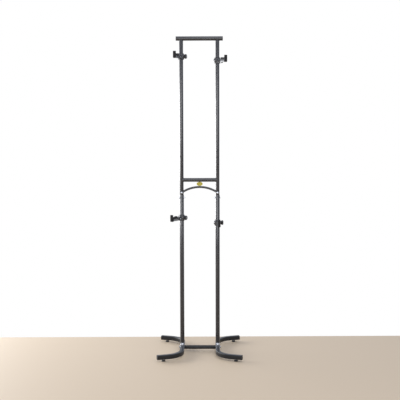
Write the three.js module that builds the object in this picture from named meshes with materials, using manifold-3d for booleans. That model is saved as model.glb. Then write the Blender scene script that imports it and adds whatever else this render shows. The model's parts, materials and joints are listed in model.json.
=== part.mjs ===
// Two tier bike rack: a ladder frame of round tube on two C-shaped feet, with four
// hooks that slide along the posts and swing round them.
// Millimetres, +Z up, the floor at zero, the hooks reach out towards -Y.
import * as THREE from "three";
import { mergeVertices } from "three/addons/utils/BufferGeometryUtils.js";
import Module from "manifold-3d";

const wasm = await Module();
wasm.setup();

// Whole rack
const rackHeight = 2088; // floor to the top of the top bar
const postSpacing = 237; // between the axes of the two posts
const seatGap = 0.3; // left between pieces that touch
const cutOverrun = 2; // how far a cutting tool runs past what it cuts

// Posts: the upper tube plugs into the lower one
const upperPostDiameter = 25.4;
const upperPostWall = 1.5;
const lowerPostWall = 1.3;
const jointHeight = 1051; // top end of the lower posts
const jointPlugLength = 62; // length of the upper post inside the lower one
const jointBoltDrop = 18; // from the joint down to its cross bolt

// Top bar, middle bar and arch
const topBarLength = 303;
const topBarDiameter = 28.6;
const topBarWall = 1.5;
const topCapThickness = 2;
const topCapPlug = 14;
const midBarRise = 99; // from the joint up to the middle bar's axis
const midBarDiameter = 25.4;
const midBarWall = 1.5;
const archEndRise = 15; // from the joint up to where the arch's axis meets the post's axis
const archRise = 37; // from there up to the crown
const archRodDiameter = 14;
const archEndLength = 6; // length of rod past the post's axis

// Badge between the middle bar and the arch
const badgeWidth = 40;
const badgeThickness = 4;
const badgeEdge = 1; // bevel round its face

// Feet: square tube with rounded corners, bent to a C
const footTube = 28.6;
const footCornerRadius = 5;
const footWall = 1.8;
const footDepth = 560; // front to back, over both arms
const footReach = 151; // sideways from the post's axis to the end of the tube
const footSplay = 18; // degrees that each arm points away from sideways
const footBendRadius = 130; // at the middle of the tube
const footCapThickness = 3;
const footCapPlug = 16;
const footCapBevel = 1;

// Levelling glides
const glideHeight = 13; // floor to the underside of the foot
const glideDiameter = 26;
const glideInset = 39; // along the arm from the tube's end to the glide
const glideStudDiameter = 8;
const glideStudLength = 22; // above the underside of the foot
const glideHexWidth = 13;
const glideHexHeight = 3;
const glideSocketDepth = 6;
const weldNutDiameter = 15;
const weldNutHeight = 6;

// Base crossbar and the spigots that hold the posts
const crossbarDiameter = 25.4;
const crossbarWall = 1.5;
const crossbarPlug = 22; // length of the threaded plug in each end
const spigotShoulder = 15.8; // from the foot up to the post's end
const spigotShoulderDiameter = 27.2;
const spigotFlangeDiameter = 29;
const spigotFlangeThickness = 2.5;
const spigotHeight = 78;
const spigotWall = 2.5;
const spigotChamfer = 1.5;

// Fasteners
const crossbarBoltDiameter = 8;
const crossbarBoltHead = 13; // across flats
const crossbarBoltHeadHeight = 5.3;
const crossbarBoltFlange = 17;
const crossbarBoltFlangeThickness = 1.5;
const frameBoltDiameter = 6;
const frameBoltHead = 14;
const frameBoltHeadHeight = 3.6;
const boltRimShare = 0.3; // of a round head's height, up to where its dome starts
const jointNutWidth = 10; // across flats
const jointNutHeight = 5;
const jointNutDome = 3.5;
const archBoltReach = 4; // past the middle of the arch's rod

// Hooks: liner on the post, clamp round the liner, arm with a covered cradle
const clampHeight = 34;
const clampDiameter = 39;
const linerDiameter = 31.8;
const linerFlangeThickness = 2;
const linerFlangeDiameter = 37;
const linerSlit = 2;
const knobBossDiameter = 24;
const knobBossReach = 22; // from the post's axis
const knobDiameter = 30;
const knobLength = 16;
const knobStudDiameter = 8;
const knobFluteDepth = 1.8;
const knobBevel = 2;
const backBossDiameter = 30;
const backBossReach = 26; // from the post's axis to the dome's top
const backBossDome = 9;
const socketReach = 37; // from the post's axis to the end of the socket's cheeks
const cheekThickness = 4.2;
const cheekCornerRadius = 5;
const armBoltDiameter = 6;
const armBoltHead = 11;
const armBoltHeadHeight = 3;
const armBoltReach = 28.5; // from the post's axis
const armThickness = 8;
const armHeight = 24;
const armTop = 8; // above the middle of the clamp
const armReach = 120.7; // from the post's axis to the outer face of its tip
const armTipThickness = 5;
const armTipTop = 23;
const armSeatStart = 62; // where the step for the cover is
const armSeatTop = 3;
const armOuterRadius = 9;
const armInnerRadius = 6;
const coverSideWall = 4;
const coverTipWall = 3;
const coverPad = 8; // thickness under the bike's tube
const coverHump = 4; // rise of the pad's inner end
const coverHumpLength = 9;
const coverSkirt = 3; // how far its sides hang below the arm's seat
const coverBootLength = 16; // length that wraps the whole arm at its tip
const coverFloor = 2.5; // under the arm at its tip
const coverLip = 3.2; // over the arm's tip
const coverGrooveRadius = 8;
const coverBevel = 1.6;

// Where each hook stands in the photo: its middle's drop from the top bar's top, or
// from the joint for a lower one, and its swing outwards in degrees
const upperLeftDrop = 131;
const upperLeftSwing = 19.6;
const upperRightDrop = 157;
const upperRightSwing = 26;
const lowerLeftDrop = 151;
const lowerLeftSwing = 32;
const lowerRightDrop = 185;
const lowerRightSwing = 4.6;

// Facets
const tubeFacets = 20;
const rodFacets = 8;
const boltFacets = 10;
const hexFacets = 6;
const padFacets = 16;
const cornerFacets = 3;
const hookCurveFacets = 2;
const hiddenCornerFacets = 1;
const archFacets = 10;
const bendSteps = 7;
const archSteps = 16;
const domeSteps = 2;
const knobLobes = 6;
const knobPointsPerLobe = 4;

// Worked out from the sizes above
const upperPostRadius = upperPostDiameter / 2;
const lowerPostBore = upperPostRadius + seatGap;
const lowerPostRadius = lowerPostBore + lowerPostWall;
const topBarRadius = topBarDiameter / 2;
const topBarHeight = rackHeight - topBarRadius;
const midBarHeight = jointHeight + midBarRise;
const midBarRadius = midBarDiameter / 2;
const archEndHeight = jointHeight + archEndRise;
const archRodRadius = archRodDiameter / 2;
const postX = postSpacing / 2;
const footMiddle = glideHeight + footTube / 2;
const footTop = glideHeight + footTube;
const splayAngle = THREE.MathUtils.degToRad(footSplay);
const bendAngle = Math.PI / 2 - splayAngle;
const footArmLength =
  (footReach - footBendRadius * (1 - Math.cos(bendAngle))) / Math.cos(splayAngle);
const footSpineHalf =
  footDepth / 2 -
  (footTube / 2) * Math.cos(splayAngle) -
  footArmLength * Math.sin(splayAngle) -
  footBendRadius * Math.sin(bendAngle);
const lowerPostStart = footTop + spigotShoulder + seatGap * 2;
const clampRadius = clampDiameter / 2;
const linerRadius = linerDiameter / 2;
const clampBore = linerRadius + seatGap;
const armBottom = armTop - armHeight;
const armMiddle = armTop - armHeight / 2;
const slotHalf = armThickness / 2 + seatGap;
const clampFront = slotHalf + cheekThickness;
const coverHalf = slotHalf + coverSideWall;

// Colours and surfaces
const finishes = {
  blackSteel: { color: 0x25262b, roughness: 0.32, metalness: 0.25 },
  blackCasting: { color: 0x242529, roughness: 0.45, metalness: 0.2 },
  blackPlastic: { color: 0x151515, roughness: 0.55, metalness: 0 },
  rubber: { color: 0x121212, roughness: 0.8, metalness: 0 },
  nylon: { color: 0x2a2a2c, roughness: 0.6, metalness: 0 },
  zinc: { color: 0xb9bcc0, roughness: 0.3, metalness: 0.9 },
  yellowEnamel: { color: 0xbdb24c, roughness: 0.35, metalness: 0 },
};

// Booleans

function solidOf(geometry) {
  const bare = geometry.clone();
  bare.deleteAttribute("normal");
  bare.deleteAttribute("uv");
  const merged = mergeVertices(bare);
  const index = merged.index.array;
  const faces = [];
  for (let i = 0; i < index.length; i += 3) {
    const corners = [index[i], index[i + 1], index[i + 2]];
    if (new Set(corners).size === corners.length) faces.push(...corners);
  }
  return new wasm.Manifold(
    new wasm.Mesh({
      numProp: 3,
      vertProperties: merged.attributes.position.array,
      triVerts: new Uint32Array(faces),
    }),
  );
}

function geometryOf(solid) {
  const mesh = solid.getMesh();
  const indexed = new THREE.BufferGeometry();
  indexed.setAttribute("position", new THREE.BufferAttribute(mesh.vertProperties, mesh.numProp));
  indexed.setIndex(new THREE.BufferAttribute(mesh.triVerts, 1));
  const geometry = indexed.toNonIndexed();
  geometry.computeVertexNormals();
  return geometry;
}

function join(first, ...others) {
  return geometryOf(others.reduce((sum, other) => sum.add(solidOf(other)), solidOf(first)));
}

function cut(body, ...tools) {
  return geometryOf(tools.reduce((rest, tool) => rest.subtract(solidOf(tool)), solidOf(body)));
}

// Forms

// A profile of [radius, height] points turned round the Z axis.
function revolve(profile, facets) {
  const points = profile.map(([radius, height]) => new THREE.Vector2(radius, height));
  return new THREE.LatheGeometry(points, facets).rotateX(Math.PI / 2);
}

function rod(radius, from, to, facets) {
  return revolve([[0, from], [radius, from], [radius, to], [0, to]], facets);
}

function pipe(inner, outer, from, to, facets) {
  const profile = [[inner, from], [outer, from], [outer, to], [inner, to], [inner, from]];
  return revolve(profile, facets);
}

// A hexagon across its flats needs the radius of its corners.
function cornerRadius(acrossFlats) {
  return acrossFlats / 2 / Math.cos(Math.PI / hexFacets);
}

// Turns a form made along +Z so that it lies along the given direction.
function along(geometry, x, y, z) {
  const turn = new THREE.Quaternion().setFromUnitVectors(
    new THREE.Vector3(0, 0, 1),
    new THREE.Vector3(x, y, z),
  );
  return geometry.applyQuaternion(turn);
}

// The outline of a square with rounded corners.
function roundedSquare(size, radius, facets) {
  const inner = size / 2 - radius;
  const points = [];
  for (let corner = 0; corner < 4; corner += 1) {
    for (let step = 0; step <= facets; step += 1) {
      const angle = (corner + step / facets) * (Math.PI / 2);
      const centreX = inner * (corner === 0 || corner === 3 ? 1 : -1);
      const centreY = inner * (corner < 2 ? 1 : -1);
      points.push(
        new THREE.Vector2(centreX + radius * Math.cos(angle), centreY + radius * Math.sin(angle)),
      );
    }
  }
  return new THREE.Shape(points);
}

// A path with one station, a point and a direction, at each end of a straight
// stretch and at each step of a bend.
class StationPath extends THREE.Curve {
  constructor(stations) {
    super();
    this.stations = stations;
  }
  station(share) {
    return this.stations[Math.round(share * (this.stations.length - 1))];
  }
  getPoint(share) {
    return this.station(share).point.clone();
  }
  getPointAt(share) {
    return this.getPoint(share);
  }
  getTangentAt(share) {
    return this.station(share).direction.clone();
  }
}

function sweep(shape, path) {
  return new THREE.ExtrudeGeometry(shape, {
    steps: path.stations.length - 1,
    extrudePath: path,
  });
}

function roundShape(radius, facets) {
  const points = [];
  for (let i = 0; i < facets; i += 1) {
    const angle = (i / facets) * Math.PI * 2;
    points.push(new THREE.Vector2(radius * Math.cos(angle), radius * Math.sin(angle)));
  }
  return new THREE.Shape(points);
}

// A shape drawn as seen from a hook's side, reach to the right and height up,
// made as wide as given and set across the middle of the hook.
function acrossHook(shape, width, bevel) {
  const geometry = new THREE.ExtrudeGeometry(shape, {
    depth: width - bevel * 2,
    curveSegments: hookCurveFacets,
    bevelEnabled: bevel > 0,
    bevelThickness: bevel,
    bevelSize: bevel,
    bevelOffset: -bevel,
    bevelSegments: 1,
  });
  const turn = new THREE.Matrix4().makeBasis(
    new THREE.Vector3(0, -1, 0),
    new THREE.Vector3(0, 0, 1),
    new THREE.Vector3(-1, 0, 0),
  );
  return geometry.translate(0, 0, bevel - width / 2).applyMatrix4(turn);
}

// Feet

// The path of one foot from its front tip to its back tip. side is -1 or 1.
function footPath(side) {
  const bend = (end, step) => {
    const angle = (step / bendSteps) * bendAngle;
    return {
      point: new THREE.Vector3(
        side * (postX + footBendRadius * (1 - Math.cos(angle))),
        end * (footSpineHalf + footBendRadius * Math.sin(angle)),
        footMiddle,
      ),
      direction: new THREE.Vector3(side * Math.sin(angle), end * Math.cos(angle), 0),
    };
  };
  const tip = (end) => {
    const last = bend(end, bendSteps);
    return {
      point: last.point.addScaledVector(last.direction, footArmLength),
      direction: last.direction,
    };
  };
  const half = (end) => {
    const stations = [];
    for (let step = 0; step <= bendSteps; step += 1) stations.push(bend(end, step));
    stations.push(tip(end));
    return stations;
  };
  const front = half(-1).reverse();
  for (const station of front) station.direction.negate();
  return new StationPath([...front, ...half(1)]);
}

// The middle of the tube's end, and the direction it points in. end is -1 or 1.
function footTip(side, end) {
  const stations = footPath(side).stations;
  const last = end < 0 ? stations[0] : stations[stations.length - 1];
  const direction = last.direction.clone();
  if (end < 0) direction.negate();
  return { point: last.point.clone(), direction };
}

function glidePlace(side, end) {
  const tip = footTip(side, end);
  return tip.point.addScaledVector(tip.direction, -glideInset).setZ(0);
}

function foot(side) {
  const section = roundedSquare(footTube, footCornerRadius, cornerFacets);
  const bore = footTube - footWall * 2;
  section.holes.push(roundedSquare(bore, footCornerRadius - footWall, hiddenCornerFacets));
  const tube = sweep(section, footPath(side));
  const nuts = [];
  const holes = [];
  for (const end of [-1, 1]) {
    const place = glidePlace(side, end);
    const nutTop = glideHeight + footWall + weldNutHeight;
    const nut = rod(weldNutDiameter / 2, glideHeight + footWall / 2, nutTop, rodFacets);
    const hole = rod(
      glideStudDiameter / 2 + seatGap,
      glideHeight - cutOverrun,
      nutTop + cutOverrun,
      boltFacets,
    );
    nuts.push(nut.translate(place.x, place.y, 0));
    holes.push(hole.translate(place.x, place.y, 0));
  }
  const crossHole = rod(
    crossbarBoltDiameter / 2 + seatGap,
    -footTube / 2 - cutOverrun,
    footTube / 2 + cutOverrun,
    boltFacets,
  );
  holes.push(along(crossHole, 1, 0, 0).translate(side * postX, 0, footMiddle));
  return cut(join(tube, ...nuts), ...holes);
}

// The end cap of a foot: a bevelled plate over the tube's end, with a plug inside it.
function footCap() {
  const outline = roundedSquare(footTube, footCornerRadius, cornerFacets);
  const plate = new THREE.ExtrudeGeometry(outline, {
    depth: footCapThickness - footCapBevel * 2,
    bevelThickness: footCapBevel,
    bevelSize: footCapBevel,
    bevelOffset: -footCapBevel,
    bevelSegments: 1,
  }).translate(0, 0, seatGap + footCapBevel);
  const inset = footWall + seatGap;
  const plugOutline = roundedSquare(
    footTube - inset * 2,
    footCornerRadius - footWall,
    hiddenCornerFacets,
  );
  const plug = new THREE.ExtrudeGeometry(plugOutline, {
    depth: footCapPlug + footCapThickness / 2,
    bevelEnabled: false,
  }).translate(0, 0, -footCapPlug);
  return join(plate, plug);
}

function glidePad() {
  const radius = glideDiameter / 2;
  const socket = cornerRadius(glideHexWidth) - glideHexHeight / 2;
  const top = glideHeight - glideHexHeight - seatGap * 2;
  const chamfer = glideHexHeight / 2;
  return revolve(
    [
      [0, 0],
      [radius - chamfer, 0],
      [radius, chamfer],
      [radius, top - chamfer * 2],
      [radius - chamfer * 2, top],
      [socket + seatGap, top],
      [socket + seatGap, top - glideSocketDepth],
      [0, top - glideSocketDepth],
    ],
    padFacets,
  );
}

function glideStud() {
  const hexTop = glideHeight - seatGap;
  const hexBottom = hexTop - glideHexHeight;
  const socket = cornerRadius(glideHexWidth) - glideHexHeight / 2;
  const ball = rod(socket, hexBottom - glideSocketDepth, hexBottom + glideHexHeight / 2, rodFacets);
  const hex = rod(cornerRadius(glideHexWidth), hexBottom, hexTop, hexFacets);
  const thread = rod(
    glideStudDiameter / 2,
    hexTop - glideHexHeight / 2,
    glideHeight + glideStudLength,
    rodFacets,
  );
  return join(ball, hex, thread);
}

function crossbar() {
  const radius = crossbarDiameter / 2;
  const half = postX - footTube / 2 - seatGap;
  const hole = crossbarBoltDiameter / 2 + seatGap;
  const bore = radius - crossbarWall;
  const plugEnd = half - crossbarPlug;
  return along(
    revolve(
      [
        [hole, -half],
        [radius, -half],
        [radius, half],
        [hole, half],
        [hole, plugEnd],
        [bore, plugEnd],
        [bore, -plugEnd],
        [hole, -plugEnd],
        [hole, -half],
      ],
      tubeFacets,
    ),
    1,
    0,
    0,
  );
}

// The bolt that pulls the crossbar against the foot. Its head is up, its tip down.
function crossbarBolt() {
  const seat = footTube / 2 + seatGap;
  const flangeTop = seat + crossbarBoltFlangeThickness;
  const flange = rod(crossbarBoltFlange / 2, seat, flangeTop, boltFacets);
  const head = rod(
    cornerRadius(crossbarBoltHead),
    flangeTop - crossbarBoltFlangeThickness / 2,
    flangeTop + crossbarBoltHeadHeight,
    hexFacets,
  );
  const shank = rod(
    crossbarBoltDiameter / 2,
    -footTube / 2 - crossbarPlug,
    seat + crossbarBoltFlangeThickness / 2,
    rodFacets,
  );
  return join(flange, head, shank);
}

function spigot() {
  const radius = upperPostRadius;
  const bore = radius - spigotWall;
  const flangeTop = spigotFlangeThickness;
  return revolve(
    [
      [bore, 0],
      [spigotFlangeDiameter / 2, 0],
      [spigotFlangeDiameter / 2, flangeTop],
      [spigotShoulderDiameter / 2, flangeTop],
      [spigotShoulderDiameter / 2, spigotShoulder],
      [radius, spigotShoulder],
      [radius, spigotHeight - spigotChamfer],
      [radius - spigotChamfer, spigotHeight],
      [bore, spigotHeight],
      [bore, 0],
    ],
    tubeFacets,
  );
}

// Frame

function lowerPost() {
  const post = pipe(lowerPostBore, lowerPostRadius, lowerPostStart, jointHeight, tubeFacets);
  return cut(post, jointBoltHole());
}

function jointBoltHole() {
  const reach = lowerPostRadius + cutOverrun;
  const hole = rod(frameBoltDiameter / 2 + seatGap, -reach, reach, boltFacets);
  return along(hole, 1, 0, 0).translate(0, 0, jointHeight - jointBoltDrop);
}

// An upper post with its top end cut to fit under the top bar. side is -1 or 1.
function upperPost(side) {
  const post = pipe(
    upperPostRadius - upperPostWall,
    upperPostRadius,
    jointHeight - jointPlugLength,
    topBarHeight,
    tubeFacets,
  );
  const saddle = rod(
    topBarRadius + seatGap,
    -upperPostRadius - cutOverrun,
    upperPostRadius + cutOverrun,
    tubeFacets,
  );
  const boltHole = rod(
    frameBoltDiameter / 2 + seatGap,
    0,
    upperPostRadius + cutOverrun,
    boltFacets,
  );
  return cut(
    post,
    along(saddle, 1, 0, 0).translate(0, 0, topBarHeight),
    jointBoltHole(),
    along(boltHole, 0, -1, 0).translate(0, 0, archEndHeight),
    archRod(archRodRadius + seatGap, archEndLength + seatGap).translate(-side * postX, 0, 0),
  );
}

function topBar() {
  const half = topBarLength / 2;
  const tube = pipe(topBarRadius - topBarWall, topBarRadius, -half, half, tubeFacets);
  return along(tube, 1, 0, 0);
}

// A round end cap: a domed disc with a plug that fills the tube's bore.
function topCap() {
  const plug = topBarRadius - topBarWall - seatGap;
  const end = seatGap + topCapThickness;
  return revolve(
    [
      [0, -topCapPlug],
      [plug, -topCapPlug],
      [plug, seatGap],
      [topBarRadius, seatGap],
      [topBarRadius, end - topCapThickness / 2],
      [topBarRadius - topCapThickness / 2, end],
      [0, end],
    ],
    tubeFacets,
  );
}

// The middle bar, with its ends cut to fit round the posts.
function midBar() {
  const tube = pipe(midBarRadius - midBarWall, midBarRadius, -postX, postX, tubeFacets);
  const saddles = [-1, 1].map((side) => {
    const saddle = rod(
      upperPostRadius + seatGap,
      -midBarRadius - cutOverrun,
      midBarRadius + cutOverrun,
      tubeFacets,
    );
    return saddle.translate(side * postX, 0, 0);
  });
  return cut(along(tube, 1, 0, 0), ...saddles);
}

// A rod along the arch's arc, as thick as given and as far past the posts' axes.
function archRod(radius, endLength) {
  const arcRadius = (postX * postX + archRise * archRise) / (archRise * 2);
  const centreHeight = archEndHeight + archRise - arcRadius;
  const sweepAngle = Math.asin(postX / arcRadius) + endLength / arcRadius;
  const stations = [];
  for (let step = 0; step <= archSteps; step += 1) {
    const angle = ((step / archSteps) * 2 - 1) * sweepAngle;
    stations.push({
      point: new THREE.Vector3(
        arcRadius * Math.sin(angle),
        0,
        centreHeight + arcRadius * Math.cos(angle),
      ),
      direction: new THREE.Vector3(Math.cos(angle), 0, -Math.sin(angle)),
    });
  }
  return sweep(roundShape(radius, archFacets), new StationPath(stations));
}

function arch() {
  const holes = [-1, 1].map((side) => {
    const reach = archRodRadius + cutOverrun;
    const hole = rod(frameBoltDiameter / 2 + seatGap, -reach, reach, boltFacets);
    return along(hole, 0, -1, 0).translate(side * postX, 0, archEndHeight);
  });
  return cut(archRod(archRodRadius, archEndLength), ...holes);
}

// The points of a dome's profile, from its rim to its top.
function domePoints(radius, from, height) {
  const points = [];
  for (let step = 0; step < domeSteps; step += 1) {
    const angle = (step / domeSteps) * (Math.PI / 2);
    points.push([radius * Math.cos(angle), from + height * Math.sin(angle)]);
  }
  points.push([0, from + height]);
  return points;
}

// A round headed bolt along +Z: the head sits on the seat height, the shank goes
// down to the tip height.
function roundBolt(diameter, headDiameter, headHeight, seat, tip) {
  const rim = headHeight * boltRimShare;
  return revolve(
    [
      [0, tip],
      [diameter / 2, tip],
      [diameter / 2, seat],
      [headDiameter / 2, seat],
      ...domePoints(headDiameter / 2, seat + rim, headHeight - rim),
    ],
    boltFacets,
  );
}

function archBolt() {
  return roundBolt(
    frameBoltDiameter,
    frameBoltHead,
    frameBoltHeadHeight,
    upperPostRadius + seatGap,
    -archBoltReach,
  );
}

function jointBolt() {
  return roundBolt(
    frameBoltDiameter,
    frameBoltHead,
    frameBoltHeadHeight,
    lowerPostRadius + seatGap,
    -lowerPostRadius - jointNutHeight,
  );
}

// The cap nut on the joint bolt's tip: a hexagon with a dome over the thread.
function jointNut() {
  const seat = lowerPostRadius + seatGap;
  const hexTop = seat + jointNutHeight;
  const hex = rod(cornerRadius(jointNutWidth), seat, hexTop, hexFacets);
  const dome = revolve(
    [
      [0, seat],
      [jointNutWidth / 2, seat],
      ...domePoints(jointNutWidth / 2, hexTop, jointNutDome),
    ],
    boltFacets,
  );
  const thread = rod(
    frameBoltDiameter / 2 + seatGap,
    seat - cutOverrun,
    hexTop + seatGap,
    boltFacets,
  );
  return cut(join(hex, dome), thread);
}

// The oval badge fills the gap between the arch's crown and the middle bar.
function badge() {
  const height = badgeTop() - badgeBottom();
  const radius = height / 2;
  const half = badgeThickness / 2;
  const disc = revolve(
    [
      [0, -half],
      [radius - badgeEdge, -half],
      [radius, -half + badgeEdge],
      [radius, half - badgeEdge],
      [radius - badgeEdge, half],
      [0, half],
    ],
    padFacets,
  );
  return disc.rotateX(Math.PI / 2).scale(badgeWidth / height, 1, 1);
}

function badgeTop() {
  return midBarHeight - midBarRadius - seatGap;
}

function badgeBottom() {
  return archEndHeight + archRise + archRodRadius + seatGap;
}

// Hooks. Each piece is drawn with the post's axis as its Z axis, the clamp's middle
// at zero, the arm towards -Y and the knob towards +X.

// The split sleeve between the clamp and the post, with a flange at each end.
function liner(postRadius) {
  const bore = postRadius + seatGap;
  const seat = clampHeight / 2 + seatGap;
  const end = seat + linerFlangeThickness;
  const flange = linerFlangeDiameter / 2;
  const sleeve = revolve(
    [
      [bore, -end],
      [flange, -end],
      [flange, -seat],
      [linerRadius, -seat],
      [linerRadius, seat],
      [flange, seat],
      [flange, end],
      [bore, end],
      [bore, -end],
    ],
    tubeFacets,
  );
  const slit = new THREE.BoxGeometry(linerSlit, flange + cutOverrun, (end + cutOverrun) * 2);
  return cut(sleeve, slit.translate(0, (flange + cutOverrun) / 2, 0));
}

function clampCasting() {
  const half = clampHeight / 2;
  const ring = rod(clampRadius, -half, half, tubeFacets);
  const knobBoss = along(rod(knobBossDiameter / 2, 0, knobBossReach, padFacets), 1, 0, 0);
  const backProfile = [
    [0, 0],
    [backBossDiameter / 2, 0],
    ...domePoints(backBossDiameter / 2, backBossReach - backBossDome, backBossDome),
  ];
  const backBoss = along(revolve(backProfile, padFacets), -1, 0, 0);
  const cheeks = acrossHook(cheekShape(), clampFront * 2, 0);
  const slot = acrossHook(slotShape(), slotHalf * 2, 0);
  const bore = rod(clampBore, -half - cutOverrun, half + cutOverrun, tubeFacets);
  const studHole = rod(knobStudDiameter / 2 + seatGap, 0, knobBossReach + cutOverrun, boltFacets);
  const boltHole = rod(
    armBoltDiameter / 2 + seatGap,
    -clampFront - cutOverrun,
    clampFront + cutOverrun,
    boltFacets,
  );
  return cut(
    join(ring, knobBoss, backBoss, cheeks),
    slot,
    bore,
    along(studHole, 1, 0, 0),
    along(boltHole, 1, 0, 0).translate(0, -armBoltReach, armMiddle),
  );
}

// The side view of the two cheeks that hold the arm's root.
function cheekShape() {
  const shape = new THREE.Shape();
  shape.moveTo(clampBore, armBottom);
  shape.lineTo(socketReach - cheekCornerRadius, armBottom);
  const low = armBottom + cheekCornerRadius;
  shape.absarc(socketReach - cheekCornerRadius, low, cheekCornerRadius, -Math.PI / 2, 0);
  const high = armTop - cheekCornerRadius;
  shape.absarc(socketReach - cheekCornerRadius, high, cheekCornerRadius, 0, Math.PI / 2);
  shape.lineTo(clampBore, armTop);
  return shape;
}

function slotShape() {
  const end = socketReach + cutOverrun;
  const shape = new THREE.Shape();
  shape.moveTo(clampRadius, armBottom - cutOverrun);
  shape.lineTo(end, armBottom - cutOverrun);
  shape.lineTo(end, armTop + cutOverrun);
  shape.lineTo(clampRadius, armTop + cutOverrun);
  return shape;
}

// The fluted knob with its stud, along +Z.
function knob() {
  const points = [];
  const count = knobLobes * knobPointsPerLobe;
  for (let i = 0; i < count; i += 1) {
    const angle = (i / count) * Math.PI * 2;
    const dip = (knobFluteDepth / 2) * (1 - Math.cos(angle * knobLobes));
    const radius = knobDiameter / 2 - dip;
    points.push(new THREE.Vector2(radius * Math.cos(angle), radius * Math.sin(angle)));
  }
  const head = new THREE.ExtrudeGeometry(new THREE.Shape(points), {
    depth: knobLength - knobBevel * 2,
    bevelThickness: knobBevel,
    bevelSize: knobBevel,
    bevelOffset: -knobBevel,
    bevelSegments: 1,
  }).translate(0, 0, knobBossReach + seatGap + knobBevel);
  const stud = rod(
    knobStudDiameter / 2,
    linerRadius + seatGap,
    knobBossReach + knobLength / 2,
    rodFacets,
  );
  return join(head, stud);
}

// The side view of the arm, grown all round by the given clearance.
function armShape(grow) {
  const outer = armReach + grow;
  const inner = armReach - armTipThickness - grow;
  const bottom = armBottom - grow;
  const seat = armSeatTop + grow;
  const tipTop = armTipTop + grow;
  const tipRound = (outer - inner) / 2;
  const outerRadius = armOuterRadius + grow;
  const innerRadius = armInnerRadius - grow;
  const shape = new THREE.Shape();
  shape.moveTo(clampRadius + seatGap, bottom);
  shape.lineTo(outer - outerRadius, bottom);
  shape.absarc(outer - outerRadius, bottom + outerRadius, outerRadius, -Math.PI / 2, 0);
  shape.lineTo(outer, tipTop - tipRound);
  shape.absarc(outer - tipRound, tipTop - tipRound, tipRound, 0, Math.PI);
  shape.lineTo(inner, seat + innerRadius);
  shape.absarc(inner - innerRadius, seat + innerRadius, innerRadius, 0, -Math.PI / 2, true);
  shape.lineTo(armSeatStart, seat);
  shape.lineTo(armSeatStart, armTop + grow);
  shape.lineTo(clampRadius + seatGap, armTop + grow);
  return shape;
}

function arm() {
  const boltHole = rod(
    armBoltDiameter / 2 + seatGap,
    -armThickness,
    armThickness,
    boltFacets,
  );
  const hole = along(boltHole, 1, 0, 0).translate(0, -armBoltReach, armMiddle);
  return cut(acrossHook(armShape(0), armThickness, 0), hole);
}

function armBolt() {
  return roundBolt(
    armBoltDiameter,
    armBoltHead,
    armBoltHeadHeight,
    clampFront + seatGap,
    -clampFront,
  );
}

// The side view of the rubber cover: a pad along the seat, a lip in front and a
// boot round the tip.
function coverShape() {
  const start = armSeatStart + seatGap;
  const outer = armReach + seatGap + coverTipWall;
  const lipInner = armReach - armTipThickness - seatGap - coverTipWall;
  const lipTop = armTipTop + coverLip;
  const lipRound = (outer - lipInner) / 2;
  const padTop = armSeatTop + coverPad;
  const skirt = armSeatTop - coverSkirt;
  const bottom = armBottom - coverFloor;
  const bootStart = outer - coverBootLength;
  const corner = armOuterRadius + coverTipWall;
  const shape = new THREE.Shape();
  shape.moveTo(start, skirt);
  shape.lineTo(bootStart - coverHump, skirt);
  shape.lineTo(bootStart, skirt - coverHump);
  shape.lineTo(bootStart, bottom);
  shape.lineTo(outer - corner, bottom);
  shape.absarc(outer - corner, bottom + corner, corner, -Math.PI / 2, 0);
  shape.lineTo(outer, lipTop - lipRound);
  shape.absarc(outer - lipRound, lipTop - lipRound, lipRound, 0, Math.PI);
  shape.lineTo(lipInner, padTop + coverGrooveRadius);
  const groove = lipInner - coverGrooveRadius;
  shape.absarc(groove, padTop + coverGrooveRadius, coverGrooveRadius, 0, -Math.PI / 2, true);
  shape.lineTo(start + coverHumpLength * 2, padTop);
  shape.lineTo(start + coverHumpLength, padTop + coverHump);
  shape.lineTo(start, padTop + coverHump);
  return shape;
}

function cover() {
  const body = acrossHook(coverShape(), coverHalf * 2, coverBevel);
  return cut(body, acrossHook(armShape(seatGap), slotHalf * 2, 0));
}

// Assembly

function piece(name, geometry, finish) {
  const mesh = new THREE.Mesh(geometry, new THREE.MeshStandardMaterial(finishes[finish]));
  mesh.name = name;
  return mesh;
}

// Turns a piece drawn along +Z so that it lies along the given direction.
function aim(mesh, x, y, z) {
  mesh.quaternion.setFromUnitVectors(new THREE.Vector3(0, 0, 1), new THREE.Vector3(x, y, z));
  return mesh;
}

// The same for a level direction, with the piece's Y axis kept upright.
function aimLevel(mesh, direction) {
  const up = new THREE.Vector3(0, 0, 1);
  const side = new THREE.Vector3().crossVectors(up, direction);
  mesh.setRotationFromMatrix(new THREE.Matrix4().makeBasis(side, up, direction));
  return mesh;
}

function at(mesh, x, y, z) {
  mesh.position.set(x, y, z);
  return mesh;
}

const sides = [
  { name: "left", side: -1 },
  { name: "right", side: 1 },
];
const ends = [
  { name: "front", end: -1 },
  { name: "back", end: 1 },
];

function base() {
  const group = new THREE.Group();
  group.add(at(piece("base_crossbar", crossbar(), "blackSteel"), 0, 0, footMiddle));
  for (const { name, side } of sides) {
    group.add(piece(`foot_${name}`, foot(side), "blackSteel"));
    const bolt = aim(piece(`crossbar_bolt_${name}`, crossbarBolt(), "zinc"), side, 0, 0);
    group.add(at(bolt, side * postX, 0, footMiddle));
    group.add(at(piece(`post_spigot_${name}`, spigot(), "zinc"), side * postX, 0, footTop + seatGap));
    for (const { name: endName, end } of ends) {
      const corner = `${endName}_${name}`;
      const tip = footTip(side, end);
      const cap = piece(`foot_cap_${corner}`, footCap(), "blackPlastic");
      group.add(at(aimLevel(cap, tip.direction), tip.point.x, tip.point.y, tip.point.z));
      const place = glidePlace(side, end);
      const pad = piece(`glide_pad_${corner}`, glidePad(), "blackPlastic");
      const stud = piece(`glide_stud_${corner}`, glideStud(), "zinc");
      group.add(at(pad, place.x, place.y, 0), at(stud, place.x, place.y, 0));
    }
  }
  return group;
}

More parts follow.
